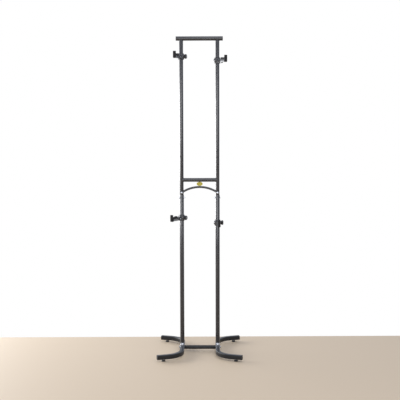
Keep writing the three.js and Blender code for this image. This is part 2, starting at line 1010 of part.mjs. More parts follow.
function frame() {
  const group = new THREE.Group();
  group.add(at(piece("top_bar", topBar(), "blackSteel"), 0, 0, topBarHeight));
  group.add(at(piece("mid_bar", midBar(), "blackSteel"), 0, 0, midBarHeight));
  group.add(piece("arch_brace", arch(), "blackSteel"));
  const middle = (badgeTop() + badgeBottom()) / 2;
  group.add(at(piece("badge", badge(), "yellowEnamel"), 0, 0, middle));
  for (const { name, side } of sides) {
    const x = side * postX;
    group.add(at(piece(`lower_post_${name}`, lowerPost(), "blackSteel"), x, 0, 0));
    group.add(at(piece(`upper_post_${name}`, upperPost(side), "blackSteel"), x, 0, 0));
    const cap = aim(piece(`top_bar_cap_${name}`, topCap(), "blackPlastic"), side, 0, 0);
    group.add(at(cap, (side * topBarLength) / 2, 0, topBarHeight));
    const brace = aim(piece(`arch_bolt_${name}`, archBolt(), "zinc"), 0, -1, 0);
    group.add(at(brace, x, 0, archEndHeight));
    const boltHeight = jointHeight - jointBoltDrop;
    const bolt = aim(piece(`joint_bolt_${name}`, jointBolt(), "zinc"), side, 0, 0);
    const nut = aim(piece(`joint_nut_${name}`, jointNut(), "zinc"), -side, 0, 0);
    group.add(at(bolt, x, 0, boltHeight), at(nut, x, 0, boltHeight));
  }
  return group;
}

function hook(name, side, height, swing, postRadius) {
  const group = new THREE.Group();
  group.add(piece(`liner_${name}`, liner(postRadius), "nylon"));
  group.add(piece(`clamp_${name}`, clampCasting(), "blackCasting"));
  group.add(aim(piece(`knob_${name}`, knob(), "blackPlastic"), 1, 0, 0));
  group.add(piece(`arm_${name}`, arm(), "blackSteel"));
  const bolt = aim(piece(`arm_bolt_${name}`, armBolt(), "zinc"), 1, 0, 0);
  group.add(at(bolt, 0, -armBoltReach, armMiddle));
  group.add(piece(`cradle_cover_${name}`, cover(), "rubber"));
  group.position.set(side * postX, 0, height);
  group.rotation.z = side * THREE.MathUtils.degToRad(swing);
  return group;
}

const rack = new THREE.Group();
rack.add(base(), frame());
const upperLeft = rackHeight - upperLeftDrop;
const upperRight = rackHeight - upperRightDrop;
const lowerLeft = jointHeight - lowerLeftDrop;
const lowerRight = jointHeight - lowerRightDrop;
rack.add(hook("upper_left", -1, upperLeft, upperLeftSwing, upperPostRadius));
rack.add(hook("upper_right", 1, upperRight, upperRightSwing, upperPostRadius));
rack.add(hook("lower_left", -1, lowerLeft, lowerLeftSwing, lowerPostRadius));
rack.add(hook("lower_right", 1, lowerRight, lowerRightSwing, lowerPostRadius));

export default rack;
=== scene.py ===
"""A two tier bike rack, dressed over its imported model: tubes, welds, fasteners and hooks."""

import json
import logging
import math
from dataclasses import dataclass, field
from enum import Enum
from typing import Iterable, Optional, Sequence, Union

import bmesh
import bpy
from mathutils import Matrix, Vector


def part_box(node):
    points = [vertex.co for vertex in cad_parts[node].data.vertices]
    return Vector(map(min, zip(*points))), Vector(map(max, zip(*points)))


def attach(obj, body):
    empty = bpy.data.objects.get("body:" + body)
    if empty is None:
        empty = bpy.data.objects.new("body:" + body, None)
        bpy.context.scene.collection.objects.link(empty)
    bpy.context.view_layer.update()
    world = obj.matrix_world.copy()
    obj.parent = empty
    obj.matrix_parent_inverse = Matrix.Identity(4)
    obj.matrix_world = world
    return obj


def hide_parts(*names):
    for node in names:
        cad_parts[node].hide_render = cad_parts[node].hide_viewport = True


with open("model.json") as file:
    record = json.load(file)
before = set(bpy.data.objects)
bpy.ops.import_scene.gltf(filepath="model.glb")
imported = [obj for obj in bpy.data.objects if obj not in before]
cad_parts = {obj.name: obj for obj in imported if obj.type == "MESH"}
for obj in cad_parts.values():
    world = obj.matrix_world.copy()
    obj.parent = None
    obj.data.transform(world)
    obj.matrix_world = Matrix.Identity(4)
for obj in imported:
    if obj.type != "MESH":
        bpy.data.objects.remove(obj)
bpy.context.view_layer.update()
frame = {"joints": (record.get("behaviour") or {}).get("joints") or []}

LOG = logging.getLogger("bike_rack")
MM = 0.001
QUARTER = math.pi / 2
Z_AXIS = Vector((0, 0, 1))
# Edges are smoothed over up to this angle.
SMOOTH_UP_TO = math.radians(32)
# A corner that is flatter than this isn't rounded.
STRAIGHT = math.radians(170)
# The share of a side that one corner's round may take.
ROUND_SHARE = 0.46
# A point this near the axis lies on it, and two heights this near are the same.
ON_AXIS = 1e-7
SAME_HEIGHT = 1e-9
# The sides of a tube, of a turned part and of a pin or a hole.
TUBE_SIDES = 72
TURNED_SIDES = 48
PIN_SIDES = 32
# What is left between pieces that touch.
SEAT = 0.3 * MM
# The posts: their distance from the middle, and the radii of the two tubes.
POST_X = 118.5 * MM
UPPER_RADIUS = 12.7 * MM
LOWER_RADIUS = 14.3 * MM

Point = tuple[float, float]
Value = Union[float, int, bool, Sequence[float], bpy.types.NodeSocket, bpy.types.ID]


# Small tools.


def linear(code: str) -> tuple[float, float, float, float]:
    """Turns an sRGB hex colour such as "#1c1d20" into linear light.

    Args:
        code: The colour as # and six hex digits.

    Returns:
        Red, green, blue and an alpha of 1.
    """
    parts = []
    for start in (1, 3, 5):
        share = int(code[start : start + 2], 16) / 255
        parts.append(share / 12.92 if share <= 0.04045 else ((share + 0.055) / 1.055) ** 2.4)
    return (parts[0], parts[1], parts[2], 1.0)


def add_node(
    tree: bpy.types.NodeTree,
    kind: str,
    inputs: Optional[dict[Union[str, int], Value]] = None,
    **settings: object,
) -> bpy.types.Node:
    """Adds one node with its settings, input values and links.

    Args:
        tree: The tree that the node goes into.
        kind: The node's type name.
        inputs: For each input, by name or place, a value or the output linked to it.
        **settings: The node's own properties.

    Returns:
        The new node.
    """
    node = tree.nodes.new(kind)
    for name, setting in settings.items():
        setattr(node, name, setting)
    for name, value in (inputs or {}).items():
        if isinstance(value, bpy.types.NodeSocket):
            tree.links.new(value, node.inputs[name])
        else:
            node.inputs[name].default_value = value
    return node


def maths(tree: bpy.types.NodeTree, operation: str, *values: Value) -> bpy.types.NodeSocket:
    """Adds one math node.

    Args:
        tree: The tree that the node goes into.
        operation: What the node works out.
        *values: Its inputs, each a number or the output linked to it.

    Returns:
        The node's output.
    """
    inputs = dict(enumerate(values))
    return add_node(tree, "ShaderNodeMath", inputs, operation=operation).outputs[0]


def emptied(owner: Union[bpy.types.Material, bpy.types.World]) -> bpy.types.NodeTree:
    """Switches on the nodes of a material or a world and returns its tree, cleared."""
    owner.use_nodes = True
    owner.node_tree.nodes.clear()
    return owner.node_tree


# The finishes.


@dataclass(frozen=True)
class Finish:
    """A surface finish: the record's slot it belongs to, its look and the nodes for that.

    The bump's size is that of the real texture, or the smallest that still shows.
    """

    title: str
    slot: str
    colour: str
    roughness: float
    metallic: float = 0.0
    ior: float = 1.5
    coat: float = 0.0
    coat_roughness: float = 0.1
    second_colour: str = ""
    patch_mm: float = 60.0
    texture_mm: float = 1.0
    texture_depth_mm: float = 0.01
    roughness_swing: float = 0.06

    def material(self) -> bpy.types.Material:
        """Returns the finish's material, made the first time it is asked for."""
        return bpy.data.materials.get(self.title) or self.make()

    def make(self) -> bpy.types.Material:
        """Builds the node tree of the finish.

        Returns:
            The new material.
        """
        made = bpy.data.materials.new(self.title)
        tree = emptied(made)
        place = add_node(tree, "ShaderNodeTexCoord").outputs["Object"]
        patches = add_node(
            tree,
            "ShaderNodeTexNoise",
            {"Vector": place, "Scale": 1 / (self.patch_mm * MM), "Detail": 3.0, "Roughness": 0.55},
        )
        colour = add_node(
            tree,
            "ShaderNodeMix",
            {
                "Factor": patches.outputs["Fac"],
                "A": linear(self.colour),
                "B": linear(self.second_colour or self.colour),
            },
            data_type="RGBA",
        )
        roughness = add_node(
            tree,
            "ShaderNodeMapRange",
            {
                "Value": patches.outputs["Fac"],
                "To Min": self.roughness - self.roughness_swing,
                "To Max": self.roughness + self.roughness_swing,
            },
        )
        bump = add_node(
            tree,
            "ShaderNodeBump",
            {
                "Height": self.relief(tree, place),
                "Distance": self.texture_depth_mm * MM,
                "Strength": 1.0,
            },
        )
        shader = add_node(
            tree,
            "ShaderNodeBsdfPrincipled",
            {
                "Base Color": colour.outputs["Result"],
                "Roughness": roughness.outputs["Result"],
                "Metallic": self.metallic,
                "IOR": self.ior,
                "Coat Weight": self.coat,
                "Coat Roughness": self.coat_roughness,
                "Normal": bump.outputs["Normal"],
            },
        )
        add_node(tree, "ShaderNodeOutputMaterial", {"Surface": shader.outputs["BSDF"]})
        return made

    def relief(
        self, tree: bpy.types.NodeTree, place: bpy.types.NodeSocket
    ) -> bpy.types.NodeSocket:
        """Adds the fine texture of the surface.

        Args:
            tree: The material's tree.
            place: The coordinates that the texture reads.

        Returns:
            The texture's height, from 0 to 1.
        """
        return add_node(
            tree,
            "ShaderNodeTexNoise",
            {"Vector": place, "Scale": 1 / (self.texture_mm * MM), "Detail": 2.0},
        ).outputs["Fac"]


@dataclass(frozen=True)
class Grained(Finish):
    """A moulded surface with the pebbled grain of an etched mould."""

    def relief(
        self, tree: bpy.types.NodeTree, place: bpy.types.NodeSocket
    ) -> bpy.types.NodeSocket:
        """Adds the grain, as cells with rounded tops; see Finish.relief."""
        return add_node(
            tree,
            "ShaderNodeTexVoronoi",
            {"Vector": place, "Scale": 1 / (self.texture_mm * MM)},
            feature="SMOOTH_F1",
        ).outputs["Distance"]


# Satin black polyester powder coat: soft orange peel, about 2 mm from peak to peak.
POWDER_COAT = Finish(
    "black_powder_coat",
    "black_steel",
    "#1f2025",
    0.28,
    coat=0.45,
    coat_roughness=0.14,
    second_colour="#26272c",
    patch_mm=90.0,
    texture_mm=2.4,
    texture_depth_mm=0.004,
)
# Powder coat of the feet and the base bar: the same black painted darker, as painted shade on these
# low parts near the floor, and duller and less glossy.
FOOT_SHADE_COAT = Finish(
    "dulled_powder_coat",
    "black_steel",
    "#17181b",
    0.36,
    ior=1.4,
    second_colour="#1e1f22",
    patch_mm=90.0,
    texture_mm=2.0,
    texture_depth_mm=0.006,
)
# Powder coat of the hooks' arms, painted a grey lighter than the tubes as painted sheen for the
# reflections on the arms' sides.
ARM_SHEEN_COAT = Finish(
    "graphite_powder_coat",
    "black_steel",
    "#505257",
    0.3,
    coat=0.5,
    coat_roughness=0.12,
    second_colour="#585a5f",
    patch_mm=40.0,
    texture_mm=2.0,
    texture_depth_mm=0.004,
)
# Powder coat over a casting: the sand's coarse grain shows through it. Its black is a little
# lighter than the tubes', as painted highlight on the glossy clamps.
COATED_CASTING = Finish(
    "black_coated_casting",
    "black_casting",
    "#2c2d32",
    0.3,
    coat=0.5,
    coat_roughness=0.12,
    second_colour="#35363b",
    patch_mm=25.0,
    texture_mm=1.6,
    texture_depth_mm=0.03,
)
# Bright zinc plate, passivated blue-white: faint cloudy bands and fine drawing marks.
ZINC_PLATE = Finish(
    "zinc_plate",
    "zinc",
    "#c3c7cc",
    0.24,
    metallic=1.0,
    second_colour="#a9adb6",
    patch_mm=7.0,
    texture_mm=0.6,
    texture_depth_mm=0.01,
    roughness_swing=0.08,
)
# Moulded rubber: matt, with the dull bloom that it gets where it is handled.
RUBBER = Grained(
    "moulded_rubber",
    "rubber",
    "#0f0f11",
    0.78,
    ior=1.42,
    second_colour="#1a1a1c",
    patch_mm=14.0,
    texture_mm=0.9,
    texture_depth_mm=0.05,
)
# Moulded black polypropylene from an etched mould.
MOULDED_PLASTIC = Grained(
    "moulded_black_plastic",
    "black_plastic",
    "#17171a",
    0.46,
    second_colour="#1e1e20",
    patch_mm=30.0,
    texture_mm=0.7,
    texture_depth_mm=0.03,
)
# Plain nylon of the sliding sleeves: a little waxy, polished smooth by sliding.
NYLON = Finish(
    "black_nylon",
    "nylon",
    "#222226",
    0.5,
    second_colour="#303035",
    patch_mm=18.0,
    texture_mm=1.5,
    texture_depth_mm=0.01,
)
# Grey insert in the knob's middle, moulded smooth.
KNOB_INSERT = Finish(
    "grey_knob_insert",
    "black_plastic",
    "#6b6d72",
    0.38,
    second_colour="#74767a",
    patch_mm=12.0,
    texture_mm=0.8,
    texture_depth_mm=0.01,
)
# Stoved yellow enamel, rubbed down to a satin sheen.
YELLOW_ENAMEL = Finish(
    "stoved_yellow_enamel",
    "yellow_enamel",
    "#bfb240",
    0.56,
    second_colour="#c8bb50",
    patch_mm=20.0,
    texture_mm=3.0,
    texture_depth_mm=0.02,
    roughness_swing=0.03,
)


# Forms, as bmeshes and as objects.


def filleted(
    points: Sequence[Point], radius: float, steps: int = 4, closed: bool = False
) -> list[Point]:
    """Rounds the corners of an outline.

    Args:
        points: The outline's corners.
        radius: The largest radius, less where a side is short.
        steps: How many straight pieces each round has.
        closed: Whether the outline's last point joins its first.

    Returns:
        The rounded outline.
    """
    count = len(points)
    made: list[Point] = []
    for place, corner in enumerate(points):
        if not closed and place in (0, count - 1):
            made.append(corner)
            continue
        before = Vector(points[place - 1])
        after = Vector(points[(place + 1) % count])
        here = Vector(corner)
        back, ahead = before - here, after - here
        turn = back.angle(ahead)
        if turn > STRAIGHT:
            made.append(corner)
            continue
        longest = ROUND_SHARE * min(back.length, ahead.length)
        reach = min(radius / math.tan(turn / 2), longest)
        start = here + back.normalized() * reach
        end = here + ahead.normalized() * reach
        for step in range(steps + 1):
            share = step / steps
            spot = start * (1 - share) ** 2 + here * 2 * share * (1 - share) + end * share**2
            made.append((spot.x, spot.y))
    return made


def rounded_corners(corners: Sequence[tuple[float, float, float]], steps: int = 8) -> list[Point]:
    """Rounds a closed outline, each corner by its own radius.

    Args:
        corners: Each corner's place in metres, and its radius in millimetres.
        steps: How many straight pieces each round has.

    Returns:
        The rounded outline.
    """
    made: list[Point] = []
    count = len(corners)
    for place in range(count):
        trio = [corners[place - 1], corners[place], corners[(place + 1) % count]]
        spots = [(x, y) for x, y, _ in trio]
        made += filleted(spots, trio[1][2] * MM, steps)[1:-1]
    return made


def rectangle(left: float, right: float, low: float, high: float) -> list[Point]:
    """Returns a rectangle's corners, from the lower left one round to the upper left one."""
    return [(left, low), (right, low), (right, high), (left, high)]


def spun(
    profile: Sequence[Point], steps: int = TURNED_SIDES, closed: bool = False
) -> bmesh.types.BMesh:
    """Turns a profile round the Z axis.

    Args:
        profile: Points of radius and height, in metres.
        steps: How many sides the round form has.
        closed: Whether the profile's last point joins its first, as on a pipe.

    Returns:
        The form, as a bmesh.
    """
    made = bmesh.new()
    rings = []
    for radius, height in profile:
        if radius < ON_AXIS:
            rings.append([made.verts.new((0, 0, height))])
            continue
        turns = [step / steps * math.tau for step in range(steps)]
        spots = [(radius * math.cos(turn), radius * math.sin(turn), height) for turn in turns]
        rings.append([made.verts.new(spot) for spot in spots])
    pairs = list(zip(rings, rings[1:]))
    if closed:
        pairs.append((rings[-1], rings[0]))
    for low, high in pairs:
        for step in range(steps):
            after = (step + 1) % steps
            corners = [low[step % len(low)], low[after % len(low)]]
            corners += [high[after % len(high)], high[step % len(high)]]
            corners = list(dict.fromkeys(corners))
            if len(corners) > 2:
                made.faces.new(corners)
    bmesh.ops.recalc_face_normals(made, faces=made.faces)
    return made


def pipe(
    inner: float, outer: float, low: float, high: float, edge: float, steps: int = TUBE_SIDES
) -> bmesh.types.BMesh:
    """Makes a straight pipe with rounded rims along Z."""
    corners = rectangle(inner, outer, low, high)
    return spun(filleted(corners, edge, 3, closed=True), steps, closed=True)


def disc(
    radius: float, low: float, high: float, edge: float, steps: int = PIN_SIDES
) -> bmesh.types.BMesh:
    """Makes a solid cylinder with rounded rims along Z."""
    return spun(filleted(rectangle(0.0, radius, low, high), edge, 3), steps)


def prism(
    outline: Sequence[Point], low: float, high: float, edge: float, rounds: int = 3
) -> bmesh.types.BMesh:
    """Raises a closed outline along Z and rounds the edges of both its faces.

    Args:
        outline: The corners, in the XY plane.
        low: The bottom's height.
        high: The top's height.
        edge: The radius at the top's and bottom's edges.
        rounds: How many pieces that radius has.

    Returns:
        The form, as a bmesh.
    """
    made = bmesh.new()
    face = made.faces.new([made.verts.new((x, y, low)) for x, y in outline])
    raised = bmesh.ops.extrude_face_region(made, geom=[face])
    top = [item for item in raised["geom"] if isinstance(item, bmesh.types.BMVert)]
    bmesh.ops.translate(made, verts=top, vec=(0, 0, high - low))
    bmesh.ops.recalc_face_normals(made, faces=made.faces)
    if edge > 0:
        rises = {side: abs(side.verts[0].co.z - side.verts[1].co.z) for side in made.edges}
        rims = [side for side, rise in rises.items() if rise < SAME_HEIGHT]
        bmesh.ops.bevel(
            made,
            geom=rims,
            offset=edge,
            segments=rounds,
            profile=0.5,
            affect="EDGES",
            clamp_overlap=True,
        )
    return made


def dome(radius: float, rim: float, rise: float, steps: int = 8) -> list[Point]:
    """Returns a dome's profile, from its rim up to the axis.

    Args:
        radius: The rim's radius.
        rim: The rim's height.
        rise: How far the dome rises above it.
        steps: How many straight pieces the profile has.

    Returns:
        Points of radius and height.
    """
    turns = [step / steps * QUARTER for step in range(steps)]
    sides = [(radius * math.cos(turn), rim + rise * math.sin(turn)) for turn in turns]
    return [*sides, (0.0, rim + rise)]


def ngon(sides: int, across_flats: float) -> list[Point]:
    """Finds the corners of a regular polygon, such as a bolt's head.

    Args:
        sides: How many sides it has.
        across_flats: Its width from side to side.

    Returns:
        The corners.
    """
    radius = across_flats / 2 / math.cos(math.pi / sides)
    turns = [step / sides * math.tau for step in range(sides)]
    return [(radius * math.cos(turn), radius * math.sin(turn)) for turn in turns]


def combined(*forms: bmesh.types.BMesh) -> bmesh.types.BMesh:
    """Puts several forms into the first one and frees the others.

    Args:
        *forms: The forms, of which the first is kept.

    Returns:
        The first form.
    """
    first = forms[0]
    for form in forms[1:]:
        kept = bpy.data.meshes.new("kept")
        form.to_mesh(kept)
        first.from_mesh(kept)
        bpy.data.meshes.remove(kept)
        form.free()
    return first


def moved(form: bmesh.types.BMesh, *turns: Matrix) -> bmesh.types.BMesh:
    """Moves or turns a form by each matrix, the first one first."""
    for turn in turns:
        bmesh.ops.transform(form, matrix=turn, verts=form.verts)
    return form


def shift(x: float, y: float, z: float) -> Matrix:
    """Returns the matrix of a move."""
    return Matrix.Translation((x, y, z))


def facing(direction: Sequence[float]) -> Matrix:
    """Returns the turn that takes +Z to a direction."""
    return Z_AXIS.rotation_difference(Vector(direction)).to_matrix().to_4x4()


def level(direction: Vector) -> Matrix:
    """Returns the turn that takes +Z to a level direction and keeps Y upright."""
    side = Z_AXIS.cross(direction)
    return Matrix((side, Z_AXIS, direction)).transposed().to_4x4()


def placed(name: str, data: bpy.types.ID) -> bpy.types.Object:
    """Makes an object of a mesh, a curve, a lamp or a camera and links it to the scene."""
    made = bpy.data.objects.new(name, data)
    bpy.context.scene.collection.objects.link(made)
    return made


def solid(name: str, form: bmesh.types.BMesh) -> bpy.types.Object:
    """Makes an object of a form and frees the form.

    Args:
        name: The object's name.
        form: The form.

    Returns:
        The object, linked to the scene.
    """
    data = bpy.data.meshes.new(name)
    form.to_mesh(data)
    form.free()
    return placed(name, data)


def joined(*pieces: bpy.types.Object) -> bmesh.types.BMesh:
    """Takes the meshes of several pieces into one form and deletes the pieces.

    Args:
        *pieces: The mesh objects.

    Returns:
        The form.
    """
    form = bmesh.new()
    for piece in pieces:
        form.from_mesh(piece.data)
        bpy.data.objects.remove(piece)
    return form


def settled(piece: bpy.types.Object) -> bpy.types.Object:
    """Turns a piece and its live modifiers into one plain mesh.

    Args:
        piece: The object, a mesh or a curve.

    Returns:
        The mesh object, which keeps the piece's name.
    """
    graph = bpy.context.evaluated_depsgraph_get()
    data = bpy.data.meshes.new_from_object(piece.evaluated_get(graph))
    name = piece.name
    bpy.data.objects.remove(piece)
    data.name = name
    return placed(name, data)


def carved(piece: bpy.types.Object, *tools: bpy.types.Object) -> bpy.types.Object:
    """Cuts tools out of a piece and deletes them.

    Args:
        piece: The object that is cut.
        *tools: The objects that cut it.

    Returns:
        The cut piece.
    """
    for tool in tools:
        cut = piece.modifiers.new("cut", "BOOLEAN")
        cut.object = tool
        cut.operation = "DIFFERENCE"
        cut.solver = "EXACT"
    made = settled(piece)
    for tool in tools:
        bpy.data.objects.remove(tool)
    return made


# Node trees that make forms.


class Section(Enum):
    """The section of what is drawn along a path."""

    ROUND = "round"
    SQUARE = "square"


class PathForms:
    """Forms that follow a path or a set of points, made by Geometry Nodes."""

    # The rounds of a section: pieces of a square's corner, sides of a circle.
    CORNER_STEPS = 7
    CIRCLE_STEPS = 40
    # A weld bead: points to a pool, how thin it gets between two, and its sides.
    POOL_STEPS = 5
    POOL_NECK = 0.84
    BEAD_STEPS = 12
    # A thread's ridge, as shares of its pitch: how far in its middle is, and its size.
    RIDGE_INSET = 0.42
    RIDGE_SIZE = 0.46
    TURN_STEPS = 20

    @staticmethod
    def start(title: str, sizes: dict[str, float]) -> tuple[bpy.types.NodeTree, bpy.types.Node]:
        """Starts a tree with a geometry input and named sizes.

        Args:
            title: The tree's name.
            sizes: Each size's name and value, in metres.

        Returns:
            The tree and its group input.
        """
        tree = bpy.data.node_groups.new(title, "GeometryNodeTree")
        tree.interface.new_socket("Geometry", in_out="INPUT", socket_type="NodeSocketGeometry")
        for name, value in sizes.items():
            size = tree.interface.new_socket(
                name, in_out="INPUT", socket_type="NodeSocketFloat"
            )
            size.default_value = value
        tree.interface.new_socket("Geometry", in_out="OUTPUT", socket_type="NodeSocketGeometry")
        return tree, add_node(tree, "NodeGroupInput")

    @staticmethod
    def end(
        tree: bpy.types.NodeTree, form: bpy.types.NodeSocket, finish: Finish
    ) -> bpy.types.NodeTree:
        """Ends a tree in Realize Instances and Set Material.

        Args:
            tree: The tree.
            form: The socket that gives the form.
            finish: The surface finish.

        Returns:
            The tree.
        """
        real = add_node(tree, "GeometryNodeRealizeInstances", {"Geometry": form})
        dressed = add_node(
            tree,
            "GeometryNodeSetMaterial",
            {"Geometry": real.outputs["Geometry"], "Material": finish.material()},
        )
        add_node(tree, "NodeGroupOutput", {"Geometry": dressed.outputs["Geometry"]})
        return tree

    @staticmethod
    def applied(carrier: bpy.types.Object, tree: bpy.types.NodeTree) -> bpy.types.Object:
        """Runs a tree on an object and keeps the result as a plain mesh."""
        carrier.modifiers.new("form", "NODES").node_group = tree
        return settled(carrier)

    @staticmethod
    def path(name: str, points: Sequence[Vector], cyclic: bool = False) -> bpy.types.Object:
        """Makes a curve through points, for a tree to work on.

        Args:
            name: The curve's name.
            points: The points, in metres.
            cyclic: Whether the last point joins the first.

        Returns:
            The curve object.
        """
        data = bpy.data.curves.new(name, "CURVE")
        data.dimensions = "3D"
        line = data.splines.new("POLY")
        line.points.add(len(points) - 1)
        line.use_cyclic_u = cyclic
        for spot, point in zip(line.points, points):
            spot.co = (*point, 1.0)
        return placed(name, data)

    @classmethod
    def swept(
        cls,
        name: str,
        points: Sequence[Vector],
        section: Section,
        width: float,
        corner: float,
        finish: Finish,
    ) -> bpy.types.Object:
        """Draws a round or rounded square section along a path.

        Args:
            name: The piece's name.
            points: The path, in metres.
            section: Which section it has.
            width: The section's width or diameter.
            corner: The radius of a square section's corners.
            finish: The surface finish.

        Returns:
            The finished mesh object.
        """
        tree, sizes = cls.start("swept_tube", {"Width": width, "Corner": corner})
        if section is Section.SQUARE:
            square = add_node(
                tree,
                "GeometryNodeCurvePrimitiveQuadrilateral",
                {"Width": sizes.outputs["Width"], "Height": sizes.outputs["Width"]},
            )
            outline = add_node(
                tree,
                "GeometryNodeFilletCurve",
                {
                    "Curve": square.outputs["Curve"],
                    "Count": cls.CORNER_STEPS,
                    "Radius": sizes.outputs["Corner"],
                },
                mode="POLY",
            ).outputs["Curve"]
        else:
            half = maths(tree, "MULTIPLY", sizes.outputs["Width"], 0.5)
            outline = add_node(
                tree,
                "GeometryNodeCurvePrimitiveCircle",
                {"Resolution": cls.CIRCLE_STEPS, "Radius": half},
            ).outputs["Curve"]
        upright = add_node(
            tree, "GeometryNodeSetCurveNormal", {"Curve": sizes.outputs["Geometry"]}, mode="Z_UP"
        )
        tube = add_node(
            tree,
            "GeometryNodeCurveToMesh",
            {"Curve": upright.outputs["Curve"], "Profile Curve": outline, "Fill Caps": True},
        )
        return cls.applied(cls.path(name, points), cls.end(tree, tube.outputs["Mesh"], finish))

    @classmethod
    def bead(
        cls, name: str, points: Sequence[Vector], width: float, ripple: float, finish: Finish
    ) -> bpy.types.Object:
        """Lays a weld bead round a closed path, with the ripples of its pools.

        Args:
            name: The piece's name.
            points: The seam, in metres.
            width: The bead's width.
            ripple: The distance from one pool to the next.
            finish: The surface finish.

        Returns:
            The finished mesh object.
        """
        tree, sizes = cls.start("weld_bead", {"Width": width, "Ripple": ripple})
        spots = add_node(
            tree,
            "GeometryNodeResampleCurve",
            {"Curve": sizes.outputs["Geometry"], "Length": ripple / cls.POOL_STEPS},
            mode="LENGTH",
        )
        along = add_node(tree, "GeometryNodeSplineParameter")
        pools = maths(tree, "DIVIDE", along.outputs["Length"], sizes.outputs["Ripple"])
        wave = maths(tree, "SINE", maths(tree, "MULTIPLY", pools, math.pi))
        swell = add_node(
            tree,
            "ShaderNodeMapRange",
            {"Value": maths(tree, "ABSOLUTE", wave), "To Min": cls.POOL_NECK, "To Max": 1.0},
        )
        half = maths(tree, "MULTIPLY", sizes.outputs["Width"], 0.5)
        outline = add_node(
            tree, "GeometryNodeCurvePrimitiveCircle", {"Resolution": cls.BEAD_STEPS, "Radius": half}
        )
        tube = add_node(
            tree,
            "GeometryNodeCurveToMesh",
            {
                "Curve": spots.outputs["Curve"],
                "Profile Curve": outline.outputs["Curve"],
                "Scale": swell.outputs["Result"],
            },
        )
        ring = cls.path(name, points, cyclic=True)
        return cls.applied(ring, cls.end(tree, tube.outputs["Mesh"], finish))

    @classmethod
    def thread(
        cls, name: str, radius: float, pitch: float, length: float, finish: Finish
    ) -> bpy.types.Object:
        """Winds a screw thread up the Z axis from zero.

        Args:
            name: The piece's name.
            radius: The thread's outer radius.
            pitch: The distance between turns.
            length: How long the thread is.
            finish: The surface finish.

        Returns:
            The thread's ridge alone, as a mesh object; its core is made apart.
        """
        tree, sizes = cls.start(
            "screw_thread", {"Radius": radius, "Pitch": pitch, "Length": length}
        )
        outer, rise, height = (sizes.outputs[size] for size in ("Radius", "Pitch", "Length"))
        turns = maths(tree, "DIVIDE", height, rise)
        middle = maths(tree, "MULTIPLY_ADD", rise, -cls.RIDGE_INSET, outer)
        helix = add_node(
            tree,
            "GeometryNodeCurveSpiral",
            {
                "Resolution": cls.TURN_STEPS,
                "Rotations": turns,
                "Start Radius": middle,
                "End Radius": middle,
                "Height": height,
            },
        )
        ridge = add_node(
            tree,
            "GeometryNodeCurvePrimitiveCircle",
            {"Resolution": 4, "Radius": maths(tree, "MULTIPLY", rise, cls.RIDGE_SIZE)},
        )
        upright = add_node(
            tree, "GeometryNodeSetCurveNormal", {"Curve": helix.outputs["Curve"]}, mode="Z_UP"
        )
        wound = add_node(
            tree,
            "GeometryNodeCurveToMesh",
            {
                "Curve": upright.outputs["Curve"],
                "Profile Curve": ridge.outputs["Curve"],
                "Fill Caps": True,
            },
        )
        carrier = solid(name, bmesh.new())
        return cls.applied(carrier, cls.end(tree, wound.outputs["Mesh"], finish))

    @classmethod
    def scattered(
        cls,
        name: str,
        source: bpy.types.Object,
        places: Sequence[Matrix],
        finish: Finish,
    ) -> bpy.types.Object:
        """Sets one form, such as a bolt, at several places.

        Args:
            name: The piece's name.
            source: The form, which is deleted afterwards.
            places: Where each copy goes.
            finish: The surface finish.

        Returns:
            One mesh object with all the copies.
        """
        tree, start = cls.start("scattered_fasteners", {})
        turn = add_node(
            tree, "GeometryNodeInputNamedAttribute", {"Name": "turn"}, data_type="FLOAT_VECTOR"
        )
        shape = add_node(tree, "GeometryNodeObjectInfo", {"Object": source})
        copies = add_node(
            tree,
            "GeometryNodeInstanceOnPoints",
            {
                "Points": start.outputs["Geometry"],
                "Instance": shape.outputs["Geometry"],
                "Rotation": turn.outputs["Attribute"],
            },
        )
        form = bmesh.new()
        for place in places:
            form.verts.new(place.to_translation())
        carrier = solid(name, form)
        turns = carrier.data.attributes.new("turn", "FLOAT_VECTOR", "POINT")
        for spot, place in zip(turns.data, places):
            spot.vector = tuple(place.to_euler("XYZ"))
        made = cls.applied(carrier, cls.end(tree, copies.outputs["Instances"], finish))
        bpy.data.objects.remove(source)
        return made


# What the sub-assemblies share.


def fitted(
    piece: bpy.types.Object, body: str, finish: Finish, nodes: Iterable[str] = ()
) -> None:
    """Smooths and dresses a finished piece and puts it on its body.

    Args:
        piece: The piece, in place, with its object at the origin.
        body: The body that it rides on.
        finish: The surface finish.
        nodes: The CAD nodes that it stands for.
    """
    piece.data.materials.clear()
    piece.data.materials.append(finish.material())
    piece.data.shade_smooth()
    piece.data.set_sharp_from_angle(angle=SMOOTH_UP_TO)
    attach(piece, body)
    if nodes:
        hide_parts(*nodes)
    LOG.info("%s on %s, %d faces", piece.name, body, len(piece.data.polygons))


class Place(Enum):
    """A place on the rack that stands in the names of its pieces."""

    @property
    def word(self) -> str:
        """The place's word in those names."""
        return self.name.lower()


class Side(Place):
    """The left and right halves of the rack, as seen from the front."""

    LEFT = -1
    RIGHT = 1


class End(Place):
    """The front and back ends of a foot."""

    FRONT = -1
    BACK = 1


def at_post(side: Side, height: float) -> Matrix:
    """Returns the move to the axis of one side's post, at a height."""
    return shift(side.value * POST_X, 0, height)


def joint(name: str) -> dict:
    """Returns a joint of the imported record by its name."""
    return next(item for item in frame["joints"] if item["name"] == name)


@dataclass(frozen=True)
class Bolt:
    """A round headed bolt's sizes: its head, its shank and how deep that goes."""

    head: float
    height: float
    shank: float
    reach: float


